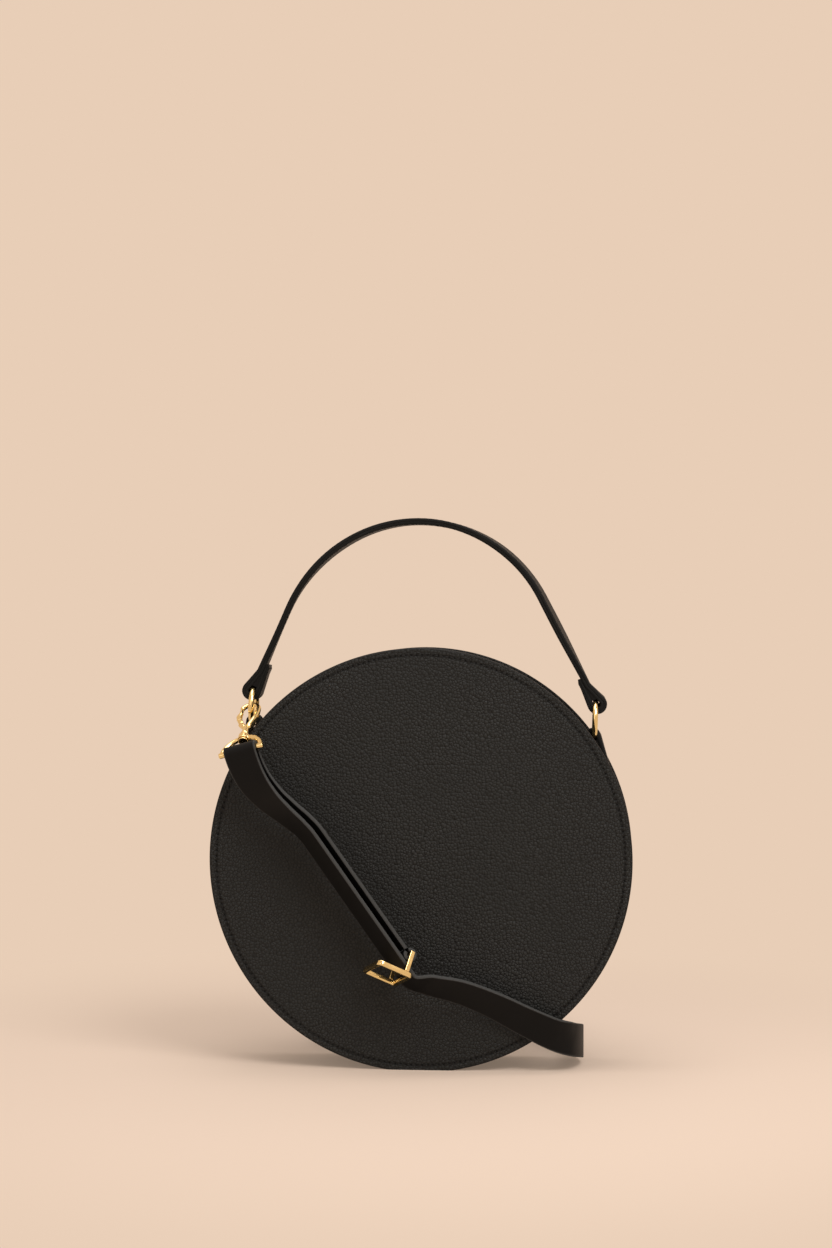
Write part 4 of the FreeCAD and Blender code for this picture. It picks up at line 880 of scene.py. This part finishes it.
def buildTab(sideName, sign):
    bottom = rings[sideName] - rings["up"] * rings["radius"]
    offset = bottom - bag["centre"]
    top = math.degrees(math.atan2(abs(offset.x), offset.z))

    def onSide(degrees, radius):
        turn = math.radians(degrees)
        return bag["centre"] + Vector((sign * math.sin(turn), 0, math.cos(turn))) * radius

    skin = tab["skin"]
    low, high = bag["webRadius"] + skin / 2, bag["webRadius"] + skin * 1.5
    down = (onSide(top + 1, 1) - onSide(top, 1)).normalized()
    radial = offset.normalized()
    bar = rings["barRadius"] + rings["loopPlay"]
    under = [(onSide(top + tab["endAngle"], low), back), (onSide(top + tab["flareAngle"], low), back)]
    under += halfTurn(bottom, back, -radial, -down, bar + skin / 2)
    over = [(onSide(top + tab[angle], high), back) for angle in ("flareAngle", "midAngle", "endAngle")]
    bm = sweepBand(under + over, tab["width"], skin)
    lip = bottom + down * (bar + foldRoom["lip"])
    meet = onSide(top + tab["flareAngle"], bag["webRadius"] + skin)
    fillFold(bm, (lip + radial * bar, lip - radial * bar, meet), tab["width"])
    saddle(bm, bottom, down, tab["saddle"])
    name = "ringTab" + sideName.capitalize()
    makePiece(name, bm, handleLeather, "bag", ["tab_" + sideName])
    return over


handleLine, handleTails = buildHandle()
tabFaces = [buildTab("left", -1), buildTab("right", 1)]
print("handle and tabs made")


# eyes and adjuster: the solids' shapes, remeshed and polished so that every edge is rounded as on plated zinc
castings = {  # voxel in millimetres and rounds of smoothing
    "hook_eye_left": {"body": "bag", "cell": 0.2, "polish": 12},
    "hook_eye_right": {"body": "bag", "cell": 0.2, "polish": 12},
    "slide_frame": {"body": "adjuster", "cell": 0.13, "polish": 24},
    "slide_bar": {"body": "adjuster", "cell": 0.11, "polish": 30},
}
pressings = {  # stamped and turned pieces keep crisper edges; rounding in millimetres
    "zip_slider": {"body": "zip_slider", "rounding": 0.25},
    "zip_pull": {"body": "zip_pull", "rounding": 0.3},
    "zip_stops": {"body": "bag", "rounding": 0.25},
    "gate_pin_left": {"body": "hook_left", "rounding": 0.2},
    "gate_pin_right": {"body": "hook_right", "rounding": 0.2},
}
pressed = {"flatAngle": 2, "sharpAngle": 28}


def copySolid(node):
    bm = bmesh.new()
    bm.from_mesh(nodes[node].data)
    bmesh.ops.remove_doubles(bm, verts=bm.verts, dist=1e-6)
    words = node.split("_")
    return words[0] + "".join(word.capitalize() for word in words[1:]), bm


for node, casting in castings.items():
    name, bm = copySolid(node)
    piece = makePiece(name, bm, goldPlate, casting["body"], [node], 180)
    skin = piece.modifiers.new("castSkin", "REMESH")
    skin.mode = "VOXEL"
    skin.voxel_size = casting["cell"] * mm
    skin.use_smooth_shade = True
    polish = piece.modifiers.new("polish", "SMOOTH")
    polish.factor = 0.5
    polish.iterations = casting["polish"]

for node, pressing in pressings.items():
    name, bm = copySolid(node)
    flatAngle, sharpAngle = math.radians(pressed["flatAngle"]), math.radians(pressed["sharpAngle"])
    bmesh.ops.dissolve_limit(bm, angle_limit=flatAngle, verts=bm.verts, edges=bm.edges)
    sharp = [edge for edge in bm.edges if edge.is_manifold and edge.calc_face_angle() > sharpAngle]
    bmesh.ops.bevel(bm, geom=sharp, offset=pressing["rounding"] * mm, affect="EDGES", segments=3, profile=0.5,
                    material=-1, clamp_overlap=True)
    makePiece(name, bm, goldPlate, pressing["body"], [node], 35)


# hooks: a bar bent over the ring, a forked shoulder for the gate's pin, a turned swivel stem, and the gate
claw = {  # in the hook's own plane, in millimetres: across, along, half width and half thickness
    "arc": {"centre": 0.9, "radius": 4.45, "wide": 1.3, "thick": 1.25, "noseRise": 1.3,
            "nose": ((-4, 0.5), (0, 0.85), (6, 1)), "turns": range(30, 181, 15)},
    "arm": ((-4.4, -2.5, 1.35, 1.4), (-3.9, -6.0, 1.4, 1.7), (-3.0, -9.0, 1.4, 1.9), (-1.7, -12.2, 1.5, 1.85),
            (-0.7, -15.0, 1.3, 1.7)),
    "shoulder": ((0.6, -15.2, 1.2, 1.7), (1.6, -13.2, 1.4, 1.85), (2.5, -11.6, 1.3, 1.9),
                 (2.9, -10.9, 0.8, 1.4)),
    "cheek": ((2.2, -12.0, 1.0, 0.3), (2.9, -10.8, 1.25, 0.35), (4.2, -8.4, 1.4, 0.35),
              (4.5, -7.6, 0.8, 0.3)),
    "cheekLevel": 1.65,
    "gate": ((4.2, -9.4, 0.5, 0.5), (4.2, -9.2, 0.85, 0.85), (4.2, -8.4, 1.05, 1.0), (4.2, -6.8, 1.05, 1.0),
             (4.5, -5.6, 1.35, 1.0), (4.95, -4.3, 1.75, 1.0), (4.75, -3.1, 1.55, 1.0), (4.3, -2.1, 1.15, 1.0),
             (4.2, -1.0, 1.05, 1.0), (4.2, 1.2, 1.05, 1.0), (4.2, 1.5, 0.85, 0.8), (4.2, 1.6, 0.4, 0.4)),
    "stem": ((0.0, -12.6), (1.2, -12.9), (1.7, -14.0), (1.75, -18.6), (2.15, -19.2), (2.15, -20.0),
             (1.7, -20.6), (1.75, -21.3), (1.5, -21.35), (1.5, -25.4), (2.3, -25.4), (2.5, -25.6),
             (2.5, -26.2), (2.3, -26.4), (0, -26.4)),
    "stemSteps": 28,
    "barSides": 16,
}


def bendRod(bm, stations, level=0):  # rounded bar through stations in the hook's plane
    stations = [(Vector((across, along, level)) * mm, wide * mm, thick * mm)
                for across, along, wide, thick in stations]
    poses = []
    for index, (point, wide, thick) in enumerate(stations):
        heading = stations[min(index + 1, len(stations) - 1)][0] - stations[max(index - 1, 0)][0]
        side = heading.normalized().cross(up)
        turn = Matrix((side, up, heading.normalized())).transposed().to_4x4()
        poses.append(Matrix.Translation(point) @ turn @ Matrix.Diagonal((wide, thick, 1, 1)))
    ring = bmesh.ops.create_circle(bm, cap_ends=True, segments=claw["barSides"], radius=1, matrix=poses[0])
    extrudeAlong(bm, ring["verts"][0].link_faces[0], poses)


def makeCast(kind, sideName, bm, place, body):
    bmesh.ops.recalc_face_normals(bm, faces=bm.faces)
    bmesh.ops.transform(bm, matrix=place, verts=bm.verts)
    name = kind + sideName.capitalize()
    piece = makePiece(name, bm, goldPlate, body, [kind + "_" + sideName], 180)
    polish = piece.modifiers.new("polish", "SUBSURF")
    polish.levels = polish.render_levels = 2


def buildGate(sideName, place):  # rounded tongue with a thumb hump
    bm = bmesh.new()
    bendRod(bm, claw["gate"])
    makeCast("gate", sideName, bm, place, "gate_" + sideName)


def buildClaw(sideName, place):
    bm = bmesh.new()
    arc = claw["arc"]
    nose = math.degrees(math.asin(arc["noseRise"] / arc["radius"]))
    turns = [(nose + turn, size) for turn, size in arc["nose"]] + [(turn, 1) for turn in arc["turns"]]
    bend = [(arc["radius"] * math.cos(math.radians(turn)),
             arc["centre"] + arc["radius"] * math.sin(math.radians(turn)),
             arc["wide"] * size, arc["thick"] * size) for turn, size in turns]
    bendRod(bm, bend + list(claw["arm"]))
    bendRod(bm, claw["shoulder"])
    for level in (-claw["cheekLevel"], claw["cheekLevel"]):
        bendRod(bm, claw["cheek"], level)
    stem = [bm.verts.new(Vector((radius, along, 0)) * mm) for radius, along in claw["stem"]]
    edges = [bm.edges.new(pair) for pair in zip(stem, stem[1:])]
    bmesh.ops.spin(bm, geom=stem + edges, cent=(0, 0, 0), axis=back, angle=math.tau, steps=claw["stemSteps"],
                   use_merge=True)
    bmesh.ops.remove_doubles(bm, verts=bm.verts, dist=1e-7)
    makeCast("claw", sideName, bm, place, "hook_" + sideName)


def freeHookFrame():  # free hook on the floor, its claw dipped to touch it
    dip = math.radians(hook["freeDip"])
    along = Vector((math.cos(dip), 0, -math.sin(dip)))
    face = Vector((math.sin(dip), 0, math.cos(dip)))
    turn = Matrix((along.cross(face), along, face)).transposed().to_4x4()
    return Matrix.Translation(strap["freeBar"] + along * hook["eyeCentre"]) @ turn


for sideName, place in (("left", hookFrame(hook["roll"])), ("right", freeHookFrame())):
    buildClaw(sideName, place)
    buildGate(sideName, place)


def buildRing(sideName):
    bm = bmesh.new()
    columns = Matrix((rings["axis"], rings["axis"].cross(rings["up"]), rings["up"])).transposed().to_4x4()
    place = Matrix.Translation(rings[sideName] + rings["up"] * rings["radius"]) @ columns
    place = place @ Matrix.Rotation(math.pi / 2, 4, "X")
    bmesh.ops.create_circle(bm, segments=rings["barSides"], radius=rings["barRadius"], matrix=place)
    bmesh.ops.spin(bm, geom=bm.verts[:] + bm.edges[:], cent=rings[sideName], axis=rings["axis"],
                   angle=math.tau, steps=rings["steps"], use_merge=True)
    bmesh.ops.recalc_face_normals(bm, faces=bm.faces)
    body = "ring_" + sideName
    makePiece("ring" + sideName.capitalize(), bm, goldPlate, body, [body])


buildRing("left")
buildRing("right")
for node in ("front_board", "back_board"):
    nodes[node].data.materials.clear()
    nodes[node].data.materials.append(fibreBoard)
print("metal made")


# lining and slip pocket
lining = {
    "radius": 95.4 * mm,
    "cloth": 0.6 * mm,
    "face": 17.2 * mm,
    "half": 17.4 * mm,
    "ripple": 0.15 * mm,
    "rippleSize": 22 * mm,
    "faceReach": 0.01 * mm,
    "stops": (0, 0.15, 0.3, 0.45, 0.6, 0.72, 0.84, 0.93, 1),
    "sideSteps": 120,
    "gussetSteps": 160,
    "gussetColumns": 12,
}
pocket = {"corner": 12 * mm, "cornerSteps": 8, "hem": 9 * mm, "hemSkin": 0.5 * mm, "hemRound": 0.15 * mm}


def flatUv(bm):  # cloth cut flat and hung upright
    layer = bm.loops.layers.uv.new("UVMap")
    for face in bm.faces:
        for loop in face.loops:
            loop[layer].uv = (loop.vert.co.x, loop.vert.co.z)


def buildSideLining(sign, side):
    outer, stops = lining["face"] + lining["cloth"], lining["stops"]
    profile = [(sign * lining["face"], lining["radius"] * stop) for stop in stops]
    profile += [(sign * outer, lining["radius"] * stop) for stop in stops[::-1]]
    bm = spinProfile(profile, 0, 360, lining["sideSteps"], False)
    for vert in bm.verts:
        if abs(vert.co.y) < lining["face"] + lining["faceReach"]:
            vert.co.y += sign * lining["ripple"] * (noise.noise(vert.co / lining["rippleSize"]) - 1)
    flatUv(bm)
    makePiece(side + "Lining", bm, liningCloth, "bag", [side + "_lining"])


def buildGussetLining():
    half, outer, inner = lining["half"], bag["webInner"], bag["webInner"] - lining["cloth"]
    shares = [2 * index / lining["gussetColumns"] - 1 for index in range(lining["gussetColumns"] + 1)]
    profile = [(share * half, outer) for share in shares] + [(share * half, inner) for share in shares[::-1]]
    bm = spinProfile(profile, bag["zipAngle"], 360 - 2 * bag["zipAngle"], lining["gussetSteps"], True)
    unrollUv(bm)
    makePiece("gussetLining", bm, liningCloth, "bag", ["gusset_lining"])


def buildSlipPocket():
    low, high = [Vector(corner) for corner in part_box("slip_pocket")]
    bm = bmesh.new()
    corners = [(low.x, low.z), (high.x, low.z), (high.x, high.z), (low.x, high.z)]
    verts = [bm.verts.new((x, low.y, z)) for x, z in corners]
    bm.faces.new(verts)
    bmesh.ops.bevel(bm, geom=verts[:2], offset=pocket["corner"], affect="VERTICES",
                    segments=pocket["cornerSteps"], profile=0.5, material=-1)
    grown = bmesh.ops.extrude_face_region(bm, geom=bm.faces[:])["geom"]
    bmesh.ops.translate(bm, vec=back * (high.y - low.y), verts=onlyVerts(grown))
    hemPlace = Vector(((low.x + high.x) / 2, low.y - pocket["hemSkin"] / 2, high.z - pocket["hem"] / 2))
    hemSize = Matrix.Diagonal((high.x - low.x, pocket["hemSkin"], pocket["hem"], 1))
    hem = bmesh.ops.create_cube(bm, size=1, matrix=Matrix.Translation(hemPlace) @ hemSize)["verts"]
    rims = list({edge for vert in hem for edge in vert.link_edges})
    bmesh.ops.bevel(bm, geom=rims, offset=pocket["hemRound"], affect="EDGES", segments=2, profile=0.5,
                    material=-1)
    bmesh.ops.recalc_face_normals(bm, faces=bm.faces)
    flatUv(bm)
    makePiece("slipPocket", bm, liningCloth, "bag", ["slip_pocket"])
    return low, high


buildSideLining(-1, "front")
buildSideLining(1, "back")
buildGussetLining()
pocketLow, pocketHigh = buildSlipPocket()
print("lining made")


# stitching
stitch = {
    "length": 2.0 * mm,
    "width": 0.6 * mm,
    "height": 0.26 * mm,
    "pitch": 3.0 * mm,
    "edge": 1.7 * mm,
    "flangeShift": 0.7 * mm,
    "zipSink": 0.15 * mm,
    "handleSink": 0.14 * mm,
    "tailInset": 1.6 * mm,
    "tabRows": ((-1, -1.7 * mm), (1, -1.0 * mm)),  # station and shift along the tab
    "strapShares": (0.25, 0.9),
    "pocketEdge": 2.0 * mm,
    "hemRow": 1.5 * mm,
}


def sewRow(name, places, body):  # places: point on the leather, direction of the seam, outward normal
    bm = bmesh.new()
    scale = Matrix.Diagonal((stitch["length"] / 2, stitch["width"] / 2, stitch["height"], 1))
    lying = scale @ Matrix.Rotation(math.pi / 2, 4, "Y")
    bmesh.ops.create_uvsphere(bm, u_segments=6, v_segments=5, radius=1, matrix=lying)
    loop = bpy.data.meshes.new("threadLoop")
    bm.to_mesh(loop)
    bm.clear()
    last = Matrix.Identity(4)
    for point, along, normal in places:
        along = along.normalized()
        turn = Matrix((along, normal.cross(along).normalized(), normal)).transposed().to_4x4()
        here = Matrix.Translation(point) @ turn
        loop.transform(here @ last.inverted())
        bm.from_mesh(loop)
        last = here
    bpy.data.meshes.remove(loop)
    makePiece(name, bm, thread, body, (), 80)


def seamPlaces(points, normals):  # evenly spaced stitches along a line on the leather
    places, travelled, due = [], 0, stitch["pitch"] / 2
    for index in range(len(points) - 1):
        start, end = points[index], points[index + 1]
        span = (end - start).length
        while due <= travelled + span:
            share = (due - travelled) / span
            normal = normals[index].lerp(normals[index + 1], share).normalized()
            places.append((start.lerp(end, share), end - start, normal))
            due += stitch["pitch"]
        travelled += span
    return places


def seamAlong(stations, across, level):  # on one face of a strip, beside its edge
    poses = bandPoses(stations)
    out = Vector((0, math.copysign(1, level), 0))
    points = [pose @ Vector((across, level, 0)) for pose in poses]
    return seamPlaces(points, [pose.to_3x3() @ out for pose in poses])


def seamAcross(pose, width, level):  # from edge to edge of a strip
    reach = width / 2 - stitch["edge"]
    normal = pose.to_3x3() @ Vector((0, math.copysign(1, level), 0))
    return seamPlaces([pose @ Vector((side, level, 0)) for side in (-reach, reach)], [normal, normal])


def seamRound(radius, depth, normal, count, start=0, sweep=math.tau):  # no normal means outward
    places = []
    for index in range(count):
        angle = start + sweep * (index + (0 if sweep == math.tau else 0.5)) / count
        radial = Vector((math.sin(angle), 0, math.cos(angle)))
        point = bag["centre"] + radial * radius + back * depth
        if point.z > stitch["height"]:
            places.append((point, Vector((math.cos(angle), 0, -math.sin(angle))), normal or radial))
    return places


for sign, name in ((-1, "front"), (1, "back")):
    outside = sign * (bag["halfDepth"] - panel["channelDepth"])
    inside = sign * (bag["gussetHalf"] - bag["gussetSkin"])
    rows = seamRound(panel["seam"], outside, back * sign, panel["stitches"])
    rows += seamRound(panel["seam"] + stitch["flangeShift"], inside, back * -sign, panel["stitches"])
    sewRow(name + "RimStitches", rows, "bag")
    arc = math.radians(bag["zipAngle"])
    count = round(2 * arc * bag["webRadius"] / stitch["pitch"])
    level = bag["webRadius"] - stitch["zipSink"]
    rows = seamRound(level, sign * zipStrip["seam"], None, count, -arc, 2 * arc)
    sewRow(name + "ZipStitches", rows, "bag")

beside, level = handle["width"] / 2 - stitch["edge"], handle["thickness"] / 2 - stitch["handleSink"]
rows = []
for across in (-beside, beside):
    rows += seamAlong(handleLine, across, -level) + seamAlong(handleLine, across, level)
for tailEnd in handleTails:
    pose = bandPoses(tailEnd)[0] @ Matrix.Translation((0, 0, stitch["tailInset"]))
    rows += seamAcross(pose, handle["width"], -handle["tailSkin"] / 2)
sewRow("handleStitches", rows, "handle")

rows = []
for tabFace in tabFaces:
    poses = bandPoses(tabFace)
    for station, shift in stitch["tabRows"]:
        pose = poses[station] @ Matrix.Translation((0, 0, shift))
        rows += seamAcross(pose, tab["width"], tab["skin"] / 2)
sewRow("tabStitches", rows, "bag")

rows = []
for share in stitch["strapShares"]:
    rows += seamAcross(strapEnd[0].lerp(strapEnd[1], share), strap["width"], strap["skin"] / 2)
sewRow("strapEndStitches", rows, "bag")

left, right = pocketLow.x + stitch["pocketEdge"], pocketHigh.x - stitch["pocketEdge"]
hemFoot, turnFoot = pocketHigh.z - pocket["hem"], pocketLow.z + pocket["corner"]
foot = pocketLow.z + stitch["pocketEdge"]
sides = [Vector((x, pocketLow.y, z)) for x, z in (
    (left, hemFoot), (left, turnFoot), (pocketLow.x + pocket["corner"], foot),
    (pocketHigh.x - pocket["corner"], foot), (right, turnFoot), (right, hemFoot))]
hemLine = [Vector((x, pocketLow.y - pocket["hemSkin"], hemFoot + stitch["hemRow"])) for x in (left, right)]
rows = seamPlaces(sides, [-back] * len(sides)) + seamPlaces(hemLine, [-back, -back])
sewRow("pocketStitches", rows, "bag")
print("stitches made")

# floor, light and camera
stage = {
    "peach": "e8ceb7",
    "paper": "dbc5b3",
    "floorSize": 6.0,
    "shadowNear": 0.14,
    "shadowFar": 0.42,
    "glowNear": 0.22,
    "fill": "fff4ea",
    "fillStrength": 0.5,
    "aim": Vector((0, 0, 0.12)),
}


def seenRays(tree, *kinds):  # one when the ray is of any of these kinds
    rays = addNode(tree, "LightPath").outputs
    seen = rays[kinds[0]]
    for kind in kinds[1:]:
        seen = addNode(tree, "Math", {0: seen, 1: rays[kind]}, operation="MAXIMUM").outputs["Value"]
    return seen


def buildFloor():
    bm = bmesh.new()
    bmesh.ops.create_grid(bm, x_segments=8, y_segments=8, size=stage["floorSize"])
    mesh = bpy.data.meshes.new("paperFloor")
    bm.to_mesh(mesh)
    bm.free()
    floor = bpy.data.objects.new("paperFloor", mesh)
    bpy.context.scene.collection.objects.link(floor)
    material, tree, shader = newMaterial("peachBackdropPaper", Roughness=0.9, IOR=1.45)
    shader.inputs["Base Color"].default_value = hexColour(stage["paper"])
    place = addNode(tree, "TexCoord").outputs["Object"]
    distance = addNode(tree, "VectorMath", {0: place}, operation="LENGTH")
    fade = addNode(tree, "MapRange", {"Value": distance.outputs["Value"], "From Min": stage["shadowNear"],
                                      "From Max": stage["shadowFar"], "To Min": stage["glowNear"]},
                   interpolation_type="SMOOTHSTEP")
    seen = seenRays(tree, "Is Camera Ray", "Is Glossy Ray")
    share = addNode(tree, "Math", {0: fade.outputs["Result"], 1: seen}, operation="MULTIPLY")
    glow = addNode(tree, "Emission", {"Color": hexColour(stage["peach"]), "Strength": 1.0})
    mix = addNode(tree, "MixShader", {0: share.outputs["Value"], 1: shader.outputs["BSDF"],
                                      2: glow.outputs["Emission"]})
    tree.links.new(mix.outputs["Shader"], tree.nodes["Material Output"].inputs["Surface"])
    mesh.materials.append(material)


def buildWorld():
    world = bpy.data.worlds.new("studioAir")
    bpy.context.scene.world = world
    world.use_nodes = True
    tree = world.node_tree
    shown = seenRays(tree, "Is Camera Ray", "Is Glossy Ray", "Is Transmission Ray")
    paper = addNode(tree, "Background", {"Color": hexColour(stage["peach"]), "Strength": 1.0})
    fill = addNode(tree, "Background", {"Color": hexColour(stage["fill"]), "Strength": stage["fillStrength"]})
    mix = addNode(tree, "MixShader", {0: shown, 1: fill.outputs["Background"],
                                      2: paper.outputs["Background"]})
    tree.links.new(mix.outputs["Shader"], tree.nodes["World Output"].inputs["Surface"])


lamps = {
    "keySoftbox": {"place": (0.45, -0.62, 0.85), "size": 0.5, "power": 6.5},
    "topPanel": {"place": (-0.1, -0.15, 1.4), "size": 0.9, "power": 8},
    "frontFill": {"place": (-0.7, -1.3, 0.7), "size": 0.8, "power": 1.5},
}


def buildLamps():
    for name, lamp in lamps.items():
        light = bpy.data.lights.new(name, "AREA")
        light.shape = "SQUARE"
        light.size = lamp["size"]
        light.energy = lamp["power"]
        lightObject = bpy.data.objects.new(name, light)
        lightObject.location = lamp["place"]
        heading = stage["aim"] - Vector(lamp["place"])
        lightObject.rotation_euler = heading.to_track_quat("-Z", "Y").to_euler()
        bpy.context.scene.collection.objects.link(lightObject)


view = {"lens": 67.2, "sensor": 36, "clipStart": 10 * mm, "azimuth": 4.75, "distance": 1152 * mm,
        "height": 220.6 * mm, "shiftRight": 1.7 * mm}


def buildCamera():
    turn = math.radians(view["azimuth"])
    look = Vector((-math.sin(turn), math.cos(turn), 0))
    right = Vector((math.cos(turn), math.sin(turn), 0))
    front = Vector((0, -bag["halfDepth"], view["height"]))
    camera = bpy.data.cameras.new("photoCamera")
    camera.lens = view["lens"]
    camera.sensor_width = view["sensor"]
    camera.clip_start = view["clipStart"]
    cameraObject = bpy.data.objects.new("photoCamera", camera)
    cameraObject.location = front - look * view["distance"] - right * view["shiftRight"]
    cameraObject.rotation_euler = look.to_track_quat("-Z", "Y").to_euler()
    bpy.context.scene.collection.objects.link(cameraObject)
    bpy.context.scene.camera = cameraObject


buildFloor()
buildWorld()
buildLamps()
buildCamera()
bpy.context.scene.view_settings.view_transform = "Standard"
print("stage made")
